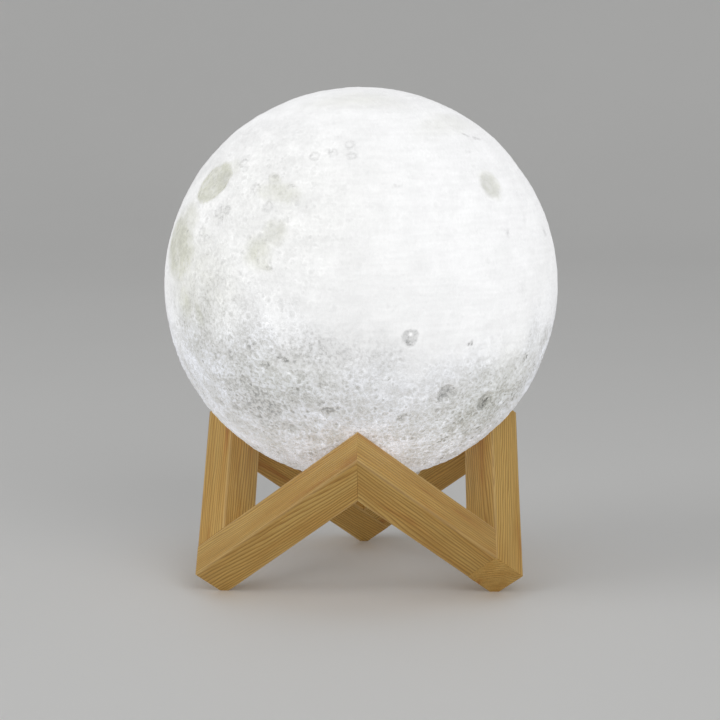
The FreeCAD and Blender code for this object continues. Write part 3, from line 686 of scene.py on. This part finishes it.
# %% Seas, marks and rings
# Longitude, latitude, then half length and half width in mm, tilt of the length from level in degrees,
# softness of the edge and depth of tone.
SEAS = {
    "oval_sea": (-58.2, 33, 10.1, 8.4, 25, 0.15, 0.7),
    "oval_sea_tail": (-51, 38.6, 4.4, 3.4, -28, 0.6, 0.24),
    "middle_sea": (-26.2, 31.6, 8.8, 4.2, -8, 0.55, 0.42),
    "middle_sea_top": (-29.6, 35.6, 2.8, 2, 0, 0.5, 0.4),
    "middle_sea_end": (-21, 31.2, 3.4, 2.2, -20, 0.6, 0.34),
    "inner_sea": (-24.8, 19.6, 5.2, 4.8, 30, 0.6, 0.44),
    "inner_sea_low": (-29.4, 14, 5.6, 5.2, 80, 0.8, 0.56),
    "inner_sea_tip": (-27, 10.6, 3.6, 1.5, -24, 0.6, 0.44),
    "edge_sea": (-66.6, 13, 15.5, 10.5, -25, 0.34, 0.72),
    "edge_sea_top": (-64, 21.5, 8.5, 5, -16, 0.6, 0.44),
    "edge_sea_low": (-58.5, -2.2, 6.5, 5, 100, 0.8, 0.64),
    "edge_sea_foot": (-50.9, -4.8, 5, 2.6, 120, 0.8, 0.56),
    "near_oval": (-46, 24.4, 5.8, 4, 38, 0.8, 0.14),
    "near_oval_low": (-52, 17.6, 4.2, 3, 5, 0.8, 0.18),
    "right_spot": (49.3, 32.8, 5.6, 4.8, 60, 0.4, 0.4),
    "right_limb": (51.9, 56.5, 15, 5, 10, 0.8, 0.18),
    "top_tint": (-1.1, 71.4, 15, 7, 0, 0.8, 0.2),
    "west_tint": (-52, 3, 19, 18, 0, 0.8, 0.3),
    "north_west_tint": (-32, 27, 32, 25, 0, 0.9, 0.1),
    "low_right_tint": (48, -31, 20, 14, 40, 0.9, 0.34),
    "band_tint": (-24, -21, 17, 9, 0, 0.9, 0.2),
    "far_sea": (142, 20, 11, 6, 20, 0.5, 0.42),
    "far_sea_top": (152, 28, 7, 4, -25, 0.7, 0.3),
    "far_sea_end": (130, 13, 6, 3.5, 45, 0.7, 0.3),
    "far_sea_low": (-150, -10, 9, 5, 60, 0.6, 0.38),
    "far_sea_low_end": (-160, -2, 8, 4, 15, 0.8, 0.26),
    "far_round": (-118, 40, 7, 5.5, 30, 0.4, 0.45),
    "far_round_tail": (-108, 33, 7, 3.5, -35, 0.8, 0.28),
    "east_sea": (100, -6, 8, 4.5, 70, 0.6, 0.34),
    "east_sea_top": (95, 5, 7, 4, 35, 0.8, 0.24),
}
MARKS = {
    "top_dot": (-10.4, 45, 0.9, 0.7, 0, 0.6, 0.8),
    "top_pair": (-2.8, 45.8, 2.6, 2, 70, 0.9, 0.4),
    "sea_dot": (-22.4, 33.5, 1.3, 0.9, 0, 0.5, 1.3),
    "tip_left": (-28.5, 11.6, 1.3, 0.7, -30, 0.6, 0.7),
    "tip_right": (-25, 10, 1.1, 0.8, 0, 0.6, 0.8),
    "heart_tip": (14.7, -10, 1.8, 1.7, 90, 0.5, 1.4),
    "dot_east": (33.3, -11.2, 1, 0.8, 50, 0.7, 2.7),
    "dot_edge": (58.9, -17.8, 1.4, 1.5, 80, 0.7, 2.6),
    "dot_high": (49.4, 18.6, 1.2, 1, 80, 0.9, 0.9),
    "dot_upper": (13, 33.8, 1.8, 0.6, 0, 0.9, 0.7),
    "dash_top": (55.7, 50.9, 1.4, 0.6, -40, 0.7, 1.6),
    "dash_top_right": (62, 49.2, 2.2, 0.7, -20, 0.7, 1.6),
    "dash_top_low": (48, 44.6, 1.6, 0.6, 0, 0.9, 0.8),
    "dot_limb": (74, 16.8, 1.4, 1.6, 80, 0.8, 0.9),
    "dot_front": (9, -20.6, 1.1, 0.8, 0, 0.6, 1.9),
    "dot_middle": (-10.5, -10, 1.2, 1.9, 0, 0.8, 1.1),
    "pit_right": (26.6, -27.5, 2.2, 1.4, 50, 0.8, 1.8),
    "pit_right_wide": (29.5, -27, 6, 4.6, 40, 0.9, 0.8),
    "pit_edge": (46.4, -31.8, 2, 1.5, 40, 0.7, 1.5),
    "pit_edge_low": (42.5, -33.8, 2.4, 1.2, 50, 0.8, 1.2),
    "pit_limb": (64, -31, 3.6, 1.6, 70, 0.9, 1),
    "pit_low": (36, -44.8, 2.6, 1.2, 45, 0.8, 1.7),
    "pit_front": (15, -33.6, 2, 0.9, 30, 0.8, 1.8),
    "wide_low_right": (48, -31, 20, 14, 40, 0.95, 0.45),
    "wide_band": (-17, -21.5, 19, 9, 0, 0.95, 0.5),
    "wide_middle": (-11, -12.5, 20, 7, 0, 0.95, 0.92),
    "wide_west": (-44, -1, 15, 14, 0, 0.95, 0.64),
    "wide_low_left": (-34.5, -29, 13, 13.5, 0, 0.95, 1.15),
    "streak_middle": (-3, -13.8, 7.5, 1.8, 6, 0.9, 0.75),
    "streak_left": (-11.5, -19.6, 5, 1.4, -6, 0.8, 0.9),
    "mark_a": (-22.4, -14.4, 1.5, 1.1, 0, 0.6, 2.2),
    "mark_b": (-20.4, -15.6, 2.1, 1.1, -40, 0.7, 2.2),
    "mark_c": (-27.2, -17.2, 2, 1.4, 20, 0.7, 2),
    "mark_d": (-40, -7.8, 1.2, 1, 60, 0.7, 1),
    "mark_e": (-32.4, -21.2, 1.3, 1, 0, 0.7, 1.2),
    "mark_f": (-35.3, -26.6, 1.5, 1.1, 60, 0.8, 1),
    "mark_g": (-9.6, -31, 2.2, 1.3, 0, 0.8, 1.8),
    "mark_h": (-17.6, -33.6, 1, 0.8, 0, 0.7, 1.2),
    "mark_i": (-18.1, -18.9, 2.6, 1.2, -10, 0.8, 1),
    "mark_basin": (-28.8, -32.8, 3.2, 2.4, 10, 0.8, 0.8),
}
# Longitude, latitude, radius in mm and depth of tone, for single small craters with a dark wall.
RINGS = {
    "heart": (14.8, -8.5, 2.9, 1.35),
    "top": (-16.8, 43.6, 2.1, 0.9),
    "top_dot": (-9.8, 44.8, 2, 0.7),
    "top_pair_high": (-3.3, 48, 2, 0.7),
    "top_pair_low": (-2.2, 43.8, 2, 0.8),
    "lone": (-28.8, 27, 2.2, 0.75),
    "west_of_sea": (-35.6, 32.2, 2.2, 0.9),
    "sea_top": (-29.7, 35.8, 2.3, 0.45),
    "near_oval_a": (-48.2, 24.6, 1.9, 1),
    "near_oval_b": (-44.6, 25.2, 1.8, 1),
    "near_oval_c": (-46, 22.4, 1.6, 0.9),
    "near_oval_d": (-53.4, 18.4, 1.8, 1),
    "near_oval_e": (-50.2, 16.8, 1.6, 0.9),
    "oval_end": (-47, 40.2, 1.8, 0.9),
    "oval_end_low": (-44.4, 38.2, 1.5, 0.8),
    "right_spot": (48.6, 32.4, 4.6, 0.4),
    "right_spot_in": (50.4, 34.4, 1.7, 0.5),
    "low_front": (-19, -25.2, 1.9, 1),
    "low_basin": (-14.4, -25.6, 2.5, 0.7),
    "low_left": (-28.6, -32.4, 3, 0.6),
    "crescent": (-31.4, -11, 2, 0.9),
    "pit_right": (27.6, -25.6, 2.6, 0.8),
    "pit_edge": (45.4, -32, 2.4, 0.8),
}
LIGHT_SPOTS = {"heart": (15, -7.9, 0.9, 0.9, 0, 0.5, 0.9), "fleck": (-20.2, -19.4, 0.7, 0.5, 0, 0.5, 1)}
LAYER = 0.4  # mm, height of one printed layer
LIT_BASE = colour(245, 245, 244)
SEA_BASE = colour(209, 210, 194)
GLOW = colour(250, 251, 255)
GLOW_SEA = colour(211, 212, 194)


def measured_from(tree, where, centre, scale, turned=(0, 0, 0)):
    """Distance from a centre, counted in the scale's lengths along axes turned with it."""
    return length_of(tree, own_axes(tree, where, centre, turned, scale))


def sunk_ellipsoids(tree, where, shapes):
    """Tone from 0 up, of the strongest of several ellipsoids at each place."""
    total = 0.0
    for longitude, latitude, half_length, half_width, tilt, softness, tone in shapes.values():
        out = outward(longitude, latitude)
        level = Vector((0, 0, 1)).cross(out).normalized()
        rising = out.cross(level)
        turn = math.radians(tilt)
        length = math.cos(turn) * level + math.sin(turn) * rising
        turned = frame_matrix((length, out.cross(length), out)).to_euler()
        scale = (half_length, half_width, 2.5 * half_length)
        distance = measured_from(tree, where, out * (GLOBE_RADIUS / MM), scale, turned)
        total = sums(tree, "MAXIMUM", total, fade(tree, distance, 1 + softness, 1 - softness, 0.0, tone))
    return total


def crater_rings(tree, where, rings):
    """Tone from 0 up, of the dark walls of single small craters with paler floors."""
    total = 0.0
    for longitude, latitude, radius, tone in rings.values():
        centre = outward(longitude, latitude) * (GLOBE_RADIUS / MM)
        distance = measured_from(tree, where, centre, (radius,) * 3)
        wall = fade(tree, distance, 1.2, 0.9, 0.0, tone)
        hollow = fade(tree, distance, 0.25, 0.75)
        total = sums(tree, "MAXIMUM", total, times(tree, wall, hollow))
    return total


def bent(tree, where, scale, amount):
    """The same place, moved a little by noise."""
    shake = add(tree, "TexNoise", {"Vector": where, "Scale": scale, "Detail": 3.0}).outputs["Color"]
    around_zero = add(tree, "VectorMath", {0: shake, 1: (0.5,) * 3}, operation="SUBTRACT").outputs[0]
    moved = add(tree, "VectorMath", {0: around_zero, 1: (amount,) * 3}, operation="MULTIPLY").outputs[0]
    return add(tree, "VectorMath", {0: where, 1: moved}, operation="ADD").outputs[0]


def pocks(tree, where, size, share):
    """Small craters about as wide as the size in mm, in a share of the cells: floor -1, rim 0.6, flat 0."""
    cells = add(tree, "TexVoronoi", {"Vector": where, "Scale": 1 / size, "Randomness": 1.0}).outputs
    distance = cells["Distance"]
    floor_part = fade(tree, distance, 0.1, 0.3, -1.0, 0.0)
    rim_up = fade(tree, distance, 0.24, 0.34)
    rim_down = fade(tree, distance, 0.34, 0.46, 1.0, 0.0)
    shape = sums(tree, "ADD", floor_part, times(tree, times(tree, rim_up, rim_down), 0.6))
    pick = add(tree, "SeparateXYZ", {0: cells["Color"]}).outputs[0]
    return times(tree, shape, sums(tree, "LESS_THAN", pick, share))


print("moon face:", len(SEAS), "seas,", len(MARKS), "marks,", len(RINGS), "rings")

# %% [markdown]
# ### One factor for the light
# A thick spot both looks a little darker and lets less light through. So every detail first adds to or takes
# from one factor, about 1, which then scales the base colour once and the glow twice. The detail is strong on
# the lower part, where the print is rough, and round the seas, and it is faint on the bright upper part.
# The change from one to the other follows lobes, each of which grows towards one side of the globe.

# %% Printed and lit
GLOW_STRENGTH = 0.33
COOL_GREY = colour(238, 241, 248)
WARM_GREY = colour(240, 240, 237)
# Longitude and latitude that a lobe grows towards, then the mm along it where it starts and where it is full.
LOBES = {
    "west": (-48, 20, 48, 66),
    "low_west": (-62, -18, 40, 72),
    "east": (70, 10, 25, 72),
    "high_east": (34, 20, 30, 75),
    # The next lobe feeds only painted light in the glow, which lifts the rails' shade low on the east side.
    "low_east_painted_light": (25, -46, 69, 75),
    "middle": (22, -15, 45, 73),
    "low_front": (8, -35, 66, 75),
    "far": (165, 10, 0, 55),
}
# Width in mm of a set of pocks, the share of cells that have one, scale and reach of the bend, and weight.
POCKS = [
    (8.0, 0.4, 0.4, 1.8, 0.5),
    (4.6, 0.6, 0.8, 1.2, 0.85),
    (2.8, 0.75, 1.5, 0.6, 0.7),
    (1.7, 0.55, 1.5, 0.8, 0.25),
]


def towards(tree, where, longitude, latitude, start, end):
    """A lobe on one side of the globe: 0 at start and 1 at end, in mm along that direction."""
    side = add(tree, "VectorMath", {0: where, 1: outward(longitude, latitude)}, operation="DOT_PRODUCT")
    return fade(tree, side.outputs["Value"], start, end)


def rough_part(tree, where, height_up, lobes):
    """One on the rough lower part of the print and 0 on the smooth part, with a ragged border."""
    drift = grainy(tree, where, 0.06, 3.0)
    wander = times(tree, lobes["far"], swing(tree, grainy(tree, where, 0.035, 2.0), 0.38, 0.6))
    border = weighted(tree, (drift, 34.0), (wander, 15.0), (lobes["middle"], 17.0), (height_up, 1.0))
    return fade(tree, border, 25.0, -15.0)


def face_tones(tree, where, grit, speckle):
    """Tones of the seas, the marks and the rings, all with ragged edges, and of the light spots."""
    ragged = bent(tree, bent(tree, where, 0.16, 4.0), 0.7, 2.2)
    broken = grainy(tree, where, 0.22, 4.0, 0.6)
    seas = times(tree, sunk_ellipsoids(tree, ragged, SEAS), fade(tree, broken, 0.3, 0.6, 0.7, 1.1))
    marks = sunk_ellipsoids(tree, bent(tree, where, 0.8, 2.0), MARKS)
    marks = times(tree, marks, fade(tree, grit, 0.36, 0.58, 1.35, 0.45))
    rings = crater_rings(tree, bent(tree, where, 0.55, 3.0), RINGS)
    rings = times(tree, rings, fade(tree, speckle, 0.36, 0.6, 1.2, 0.6))
    return seas, marks, rings, sunk_ellipsoids(tree, where, LIGHT_SPOTS)


def detail_strength(tree, rough_zone, seas, lobes):
    """How strongly grit and pocks show."""
    smoother = fade(tree, lobes["low_front"], 0.0, 1.0, 1.0, 0.85)
    calm = times(tree, fade(tree, lobes["low_west"], 0.0, 1.0, 0.23, 0.13), smoother)
    roughest = times(tree, rough_zone, calm)
    return weighted(
        tree, (roughest, 1.0), (lobes["west"], 0.055), (lobes["far"], 0.05), (seas, 0.02), (1.0, 0.035)
    )


def craters_seen(tree, rough_zone):
    """Darker floors and paler rims of the mesh's own craters, from its vertices' relief, and their weight."""
    relief = add(tree, "Attribute", attribute_name="relief").outputs["Fac"]
    floors = fade(tree, relief, -0.05, -0.5)
    rims = fade(tree, relief, 0.03, 0.2)
    shape = weighted(tree, (floors, -0.13), (rims, 0.06))
    return shape, weighted(tree, (rough_zone, 0.7), (1.0, 0.3))


def broad_tones(tree, where, rough_zone, lobes):
    """Soft clouds and the level streaks of the printed layers, each with its weight."""
    cloud = swing(tree, grainy(tree, where, 0.09, 3.0, 0.6), 0.35, 0.62)
    strength = weighted(tree, (rough_zone, 0.05), (lobes["west"], 0.02), (1.0, 0.015))
    streaks = grainy(tree, stretched(tree, where, (0.07, 0.07, 0.7)), 1.0, 3.0, 0.6)
    return (cloud, times(tree, strength, -1.0)), (swing(tree, streaks, 0.36, 0.64), 0.015)


def glow_share(tree, height_up, seas, lobes):
    """How much light comes through, before the factor: more at the crown and the sides, and painted light that
    lifts the shade at the foot and low on the east side.
    """
    return weighted(
        tree,
        (lobes["high_east"], 0.06),
        (fade(tree, height_up, 45.0, 75.0), 0.15),
        # Painted light: the extra glow at the foot lifts the shadow under the globe.
        (fade(tree, height_up, -35.0, -60.0), 0.22),
        # Painted light: this lobe lifts the rails' shade low on the east side and stands in for light reflected
        # from the wood.
        (lobes["low_east_painted_light"], 0.26),
        (lobes["low_west"], 0.16),
        (lobes["east"], 0.29),
        (seas, -0.3),
        (1.0, 0.88),
    )


def moon_print():
    """White print, with its seas, pocks and layers, and the light that comes through it."""
    material, tree = new_finish("moon_print")
    where = centred(tree, GLOBE_CENTRE)
    height_up = add(tree, "SeparateXYZ", {0: where}).outputs[2]
    lobes = {name: towards(tree, where, *place) for name, place in LOBES.items()}
    rough_zone = rough_part(tree, where, height_up, lobes)
    grit = grainy(tree, where, 0.75, 4.0, 0.7)
    speckle = grainy(tree, where, 1.7, 2.0, 0.6)
    seas, marks, rings, spots = face_tones(tree, where, grit, speckle)
    sets = []
    for width, share, scale, reach, weight in POCKS:
        sets.append((pocks(tree, bent(tree, where, scale, reach), width, share), weight))
    pitted = weighted(tree, *sets)
    grains = swing(tree, grit, 0.38, 0.62), swing(tree, speckle, 0.38, 0.62)
    mottled = weighted(tree, (grains[0], 0.36), (grains[1], 0.1), (pitted, 0.8))

    clouds, streaks = broad_tones(tree, where, rough_zone, lobes)
    light = weighted(
        tree,
        (mottled, detail_strength(tree, rough_zone, seas, lobes)),
        clouds,
        craters_seen(tree, rough_zone),
        streaks,
        (marks, -0.16),
        (rings, -0.13),
        (spots, 0.25),
        (rough_zone, -0.065),
        (1.0, 1.0),
    )

    sea_share = sums(tree, "MULTIPLY", seas, 1.0, clamp=True)
    grey = blend(tree, fade(tree, light, 1.02, 0.82), COOL_GREY, WARM_GREY)
    base = blend(tree, sea_share, LIT_BASE, SEA_BASE)
    base = blend(tree, times(tree, rough_zone, 0.5), base, grey, "MULTIPLY")
    shine = times(tree, glow_share(tree, height_up, seas, lobes), times(tree, light, light))
    tint = blend(tree, sea_share, GLOW, GLOW_SEA)
    tint = blend(tree, rough_zone, tint, grey, "MULTIPLY")

    layers = sums(tree, "SINE", times(tree, height_up, math.tau / LAYER))
    height = weighted(tree, (grit, 0.7), (speckle, 0.25), (pitted, 0.16), (rings, -0.2))
    height = times(tree, height, weighted(tree, (rough_zone, 0.8), (1.0, 0.2)))
    height = weighted(tree, (height, 1.0), (layers, 0.008))
    others = {
        "Normal": bumped(tree, height, 0.9),
        "Emission Color": brightened(tree, tint, shine),
        "Emission Strength": GLOW_STRENGTH,
        "Specular IOR Level": 0.3,
    }
    base = brightened(tree, base, light)
    return dress(material, base, fade(tree, grit, 0.3, 0.7, 0.62, 0.5), others=others)


globe.data.materials.append(moon_print())
print("moon print:", len(globe.data.materials[0].node_tree.nodes), "nodes")

# %% [markdown]
# ## Parts of the light module
# The module under the globe is an ordinary small appliance: a moulded cup with a lid, a green control board,
# a white light board with eight lamps, a pouch cell, a switch and a socket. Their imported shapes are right, so
# each keeps its mesh and gets its own finish. Handling rubs the edges of such pieces first. A texture can't
# know where the edges are, but a bevel node can: it rounds the normal near them, and where the rounded normal
# leaves the true one, the edge is worn.

# %% Worn edges
def worn_edges(tree, width):
    """From 0 on the faces to 1 along the edges, over a width in mm."""
    rounded = add(tree, "Bevel", {"Radius": width * MM}, samples=4).outputs["Normal"]
    true = add(tree, "NewGeometry").outputs["Normal"]
    alike = add(tree, "VectorMath", {0: rounded, 1: true}, operation="DOT_PRODUCT").outputs["Value"]
    return fade(tree, alike, 0.99, 0.85)


def rubbed(tree, tone, edge, share, bare):
    """A tone that turns by a share into the bare one along the worn edges."""
    return blend(tree, times(tree, edge, share), tone, bare)


def grained(tree, value, low, high):
    """Noise taken to a roughness between two values."""
    return fade(tree, value, 0.3, 0.7, low, high)


finishes = {}
print("edges wear over a bevel node's width")

# %% [markdown]
# ### Moulded plastic and insulation
# The cup, button, socket, chip packages and lead insulation are all moulded. They differ in colour, gloss and
# grain, so one function makes them: two close tones that flow into each other, a spark-eroded grain from the
# mould, and edges that are a little paler and smoother.

# %% Moulded pieces
def moulded(name, tones, bare, gloss, grain, depth):
    """Two close tones, the tone of a rubbed edge, a roughness, and a grain with its size and depth in mm."""
    material, tree = new_finish(name)
    where = centred(tree)
    spark = grainy(tree, where, 1 / grain, 3.0, 0.6)
    edge = worn_edges(tree, 0.25)
    tone = blend(tree, fade(tree, grainy(tree, where, 0.12, 3.0), 0.35, 0.65), *tones)
    rough = weighted(tree, (fade(tree, spark, 0.3, 0.7), 0.12), (edge, -0.08), (1.0, gloss))
    finishes[name] = dress(material, rubbed(tree, tone, edge, 0.5, bare), rough, times(tree, spark, depth))


WHITE_TONES = colour(226, 226, 221), colour(234, 234, 230)
GREY_WHITE_TONES = colour(214, 214, 211), colour(224, 224, 221)
BLACK_TONES = colour(26, 26, 28), colour(38, 38, 40)
RED_TONES = colour(186, 26, 20), colour(206, 38, 28)
moulded("white_housing", WHITE_TONES, colour(242, 242, 239), 0.36, 0.45, 0.05)
moulded("button_plastic", GREY_WHITE_TONES, colour(236, 236, 233), 0.24, 0.8, 0.02)
moulded("black_plastic", BLACK_TONES, colour(66, 66, 68), 0.4, 0.3, 0.03)
moulded("chip_black", BLACK_TONES, colour(58, 58, 60), 0.54, 0.15, 0.02)
moulded("red_lead", RED_TONES, colour(214, 60, 48), 0.3, 0.6, 0.02)
moulded("black_lead", BLACK_TONES, colour(54, 54, 55), 0.3, 0.6, 0.02)
moulded("white_lead", WHITE_TONES, colour(240, 240, 236), 0.3, 0.6, 0.02)
print("moulded finishes:", ", ".join(finishes))

# %% [markdown]
# ### Boards
# A circuit board's copper lies under its coloured resist, so tracks show as paler, slightly raised lines that
# run square to the board. Two brick patterns of different size give such staggered square lines, and noise
# breaks them up. The light board's resist is white and orange-peeled, with one ring of copper to its lamps.

# %% Boards
TRACK_WIDTH = 0.16  # mm
LAMP_RING = 8.0  # mm, radius of the copper ring


def copper_tracks(tree, where, width, height, shift):
    """Lines between staggered blocks of a width and height in mm, broken up by noise."""
    inputs = {
        "Vector": add(tree, "VectorMath", {0: where, 1: (shift, shift, 0.0)}, operation="ADD").outputs[0],
        "Scale": 1.0,
        "Mortar Size": TRACK_WIDTH,
        "Mortar Smooth": 0.2,
        "Brick Width": width,
        "Row Height": height,
    }
    lines = add(tree, "TexBrick", inputs, offset=0.37).outputs["Fac"]
    kept = fade(tree, grainy(tree, where, 0.3 + 0.1 * shift, 2.0), 0.44, 0.48)
    return times(tree, lines, kept)


def control_board_resist():
    """Green resist with buried copper tracks."""
    material, tree = new_finish("circuit_board")
    where = centred(tree)
    tracks = copper_tracks(tree, where, 3.1, 0.9, 0.4), copper_tracks(tree, where, 1.3, 4.2, 1.7)
    copper = sums(tree, "MAXIMUM", *tracks)
    tone = blend(tree, grainy(tree, where, 0.2), colour(10, 70, 38), colour(16, 84, 46))
    tone = blend(tree, times(tree, copper, 0.7), tone, colour(44, 132, 76))
    tone = rubbed(tree, tone, worn_edges(tree, 0.2), 0.6, colour(132, 140, 96))
    rough = grained(tree, grainy(tree, where, 1.4), 0.28, 0.4)
    return dress(material, tone, rough, times(tree, copper, 0.05))


def light_board_resist():
    """White resist over aluminium, with a ring of buried copper."""
    material, tree = new_finish("light_board")
    where = centred(tree)
    peel = grainy(tree, where, 1.6, 2.0)
    radius = length_of(tree, stretched(tree, where, (1, 1, 0)))
    track = fade(tree, sums(tree, "ABSOLUTE", sums(tree, "SUBTRACT", radius, LAMP_RING)), 0.9, 0.7)
    tone = blend(tree, times(tree, track, 0.6), colour(236, 237, 234), colour(222, 224, 222))
    tone = rubbed(tree, tone, worn_edges(tree, 0.2), 0.6, colour(196, 198, 200))
    height = weighted(tree, (track, 0.04), (peel, 0.02))
    return dress(material, tone, grained(tree, peel, 0.26, 0.36), height)


finishes["circuit_board"] = control_board_resist()
finishes["light_board"] = light_board_resist()
print("boards: control board and light board")

# %% [markdown]
# ### Metal
# Screws are turned and zinc-plated, and the socket's pin is drawn brass. Both show fine lines round or along
# their axis, a little tarnish between them, and edges that stay bright because plugs and drivers rub them.

# %% Metal pieces
def drawn_metal(name, dark, bright, roughness):
    """Bright metal with fine lines across Z, darker where it has tarnished."""
    material, tree = new_finish(name)
    where = centred(tree)
    lines = grainy(tree, stretched(tree, where, (1.2, 1.2, 9.0)), 1.0, 4.0, 0.6)
    tarnish = fade(tree, grainy(tree, where, 0.6, 3.0), 0.35, 0.7)
    dulled = sums(tree, "SUBTRACT", tarnish, worn_edges(tree, 0.15), clamp=True)
    rough = weighted(tree, (fade(tree, lines, 0.3, 0.7), 0.12), (dulled, 0.08), (1.0, roughness))
    tone = blend(tree, dulled, bright, dark)
    return dress(material, tone, rough, times(tree, lines, 0.012), {"Metallic": 1.0})


finishes["screw_steel"] = drawn_metal("screw_steel", colour(150, 150, 148), colour(196, 196, 194), 0.26)
finishes["contact_metal"] = drawn_metal("contact_metal", colour(186, 150, 84), colour(222, 192, 124), 0.2)
print("metals: screws and socket pin")

# %% [markdown]
# ### Cell, foam, dowels and light guide
# The pouch cell is wrapped in thin foil that wrinkles softly. The pad under it is closed-cell foam, all small
# round pores. The dowels that hold the rails together are turned hardwood with fine dark pores. The light
# guide is clear plastic with a faint haze and moulding ripples.

# %% Cell and foam
def cell_foil():
    """Silver foil with soft wrinkles and edges rubbed dull."""
    material, tree = new_finish("cell_wrap")
    where = centred(tree)
    crease = {"Vector": bent(tree, where, 0.2, 4.0), "Scale": 0.16}
    cells = add(tree, "TexVoronoi", crease, feature="DISTANCE_TO_EDGE")
    fold = fade(tree, cells.outputs["Distance"], 0.0, 0.3)
    cloud = grainy(tree, where, 0.3, 3.0)
    edge = worn_edges(tree, 0.4)
    tone = blend(tree, fade(tree, cloud, 0.35, 0.65), colour(196, 199, 203), colour(206, 209, 213))
    tone = rubbed(tree, tone, edge, 0.6, colour(178, 180, 182))
    rough = weighted(tree, (fade(tree, cloud, 0.3, 0.7), 0.1), (edge, 0.1), (1.0, 0.32))
    return dress(material, tone, rough, weighted(tree, (fold, 0.025), (cloud, 0.12)), {"Metallic": 0.85})


def foam_cells():
    """Closed-cell foam: small round pores, with painted shade darkening their hollows."""
    material, tree = new_finish("foam")
    cells = add(tree, "TexVoronoi", {"Vector": centred(tree), "Scale": 2.2, "Randomness": 1.0})
    pore = fade(tree, cells.outputs["Distance"], 0.1, 0.5)
    # Painted shade: the tone darkens towards the middle of each pore, where its hollow lies.
    tone = blend(tree, pore, colour(78, 78, 80), colour(112, 112, 114))
    return dress(material, tone, fade(tree, pore, 0.0, 1.0, 0.95, 0.82), times(tree, pore, 0.12))


finishes["cell_wrap"] = cell_foil()
finishes["foam"] = foam_cells()
print("cell wrap and foam pad")

# %% Dowels and light guide
def dowel_wood():
    """Turned hardwood: fine dark pores on a pale ground, paler along the chamfers."""
    material, tree = new_finish("dowel_wood")
    where = centred(tree)
    pores = grainy(tree, where, 2.4, 4.0, 0.6)
    tone = blend(tree, grainy(tree, where, 0.25, 2.0), colour(206, 174, 126), colour(194, 158, 108))
    tone = blend(tree, fade(tree, pores, 0.5, 0.66, 0.0, 0.7), tone, colour(158, 118, 74))
    tone = rubbed(tree, tone, worn_edges(tree, 0.3), 0.5, colour(220, 194, 150))
    return dress(material, tone, grained(tree, pores, 0.5, 0.66), times(tree, pores, -0.06))


def clear_plug():
    """Clear plastic with a faint haze and fine ripples."""
    material, tree = new_finish("clear_plastic")
    haze = grainy(tree, centred(tree), 0.8, 3.0)
    tone = blend(tree, haze, colour(236, 242, 246), colour(248, 250, 251))
    rough = weighted(tree, (fade(tree, haze, 0.3, 0.7), 0.12), (worn_edges(tree, 0.15), 0.2), (1.0, 0.08))
    return dress(material, tone, rough, times(tree, haze, 0.02), {"Transmission Weight": 0.9, "IOR": 1.49})


finishes["dowel_wood"] = dowel_wood()
finishes["clear_plastic"] = clear_plug()
print("dowels and light guide")

# %% [markdown]
# ### Lamp packages
# A white lamp package is a yellow phosphor under clear resin. Off, it is a matt yellow square. Lit, it glows.
# Here the cool white set is lit, as in the picture. The warm set and the charging lamp are off, and their faint
# glow is painted light that stands in for the light they catch from it. Each glow is a plain strength, and its
# colour comes from the same grains as the base colour.

# %% Lamp packages
def lamp_package(name, phosphor, rim, glow):
    """Grainy phosphor under a glossy coat, with a glow from 0 up."""
    material, tree = new_finish(name)
    grains = grainy(tree, centred(tree), 3.0, 3.0)
    tone = blend(tree, fade(tree, grains, 0.35, 0.65), phosphor, rim)
    tone = rubbed(tree, tone, worn_edges(tree, 0.12), 0.5, colour(244, 244, 240))
    others = {"Emission Color": tone, "Emission Strength": glow, "Coat Weight": 0.5}
    return dress(material, tone, grained(tree, grains, 0.18, 0.3), times(tree, grains, 0.03), others)


finishes["cool_led"] = lamp_package("cool_led", colour(246, 238, 176), colour(250, 246, 212), 0.6)
# The warm set and the charging lamp are off: their 0.05 glow is painted light caught from the lit set.
finishes["warm_led"] = lamp_package("warm_led", colour(246, 196, 92), colour(250, 214, 128), 0.05)
finishes["indicator"] = lamp_package("indicator", colour(214, 70, 52), colour(232, 116, 92), 0.05)
print("finishes:", len(finishes))

# %% [markdown]
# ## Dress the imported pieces
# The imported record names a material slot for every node. The rails and the globe have been made anew, and
# every other node now gets the finish of its slot, in the slots that its mesh already has.

# %% Finishes onto nodes
remade = set(rails) | {"moon_shell"}
dressed = 0
for part in frame["record"]["subparts"]:
    if part["node"] in remade:
        continue
    for slot in frame["nodes"][part["node"]].material_slots:
        slot.material = finishes[part["material_slot"]]
    dressed += 1
print("packed nodes with a finish:", dressed)
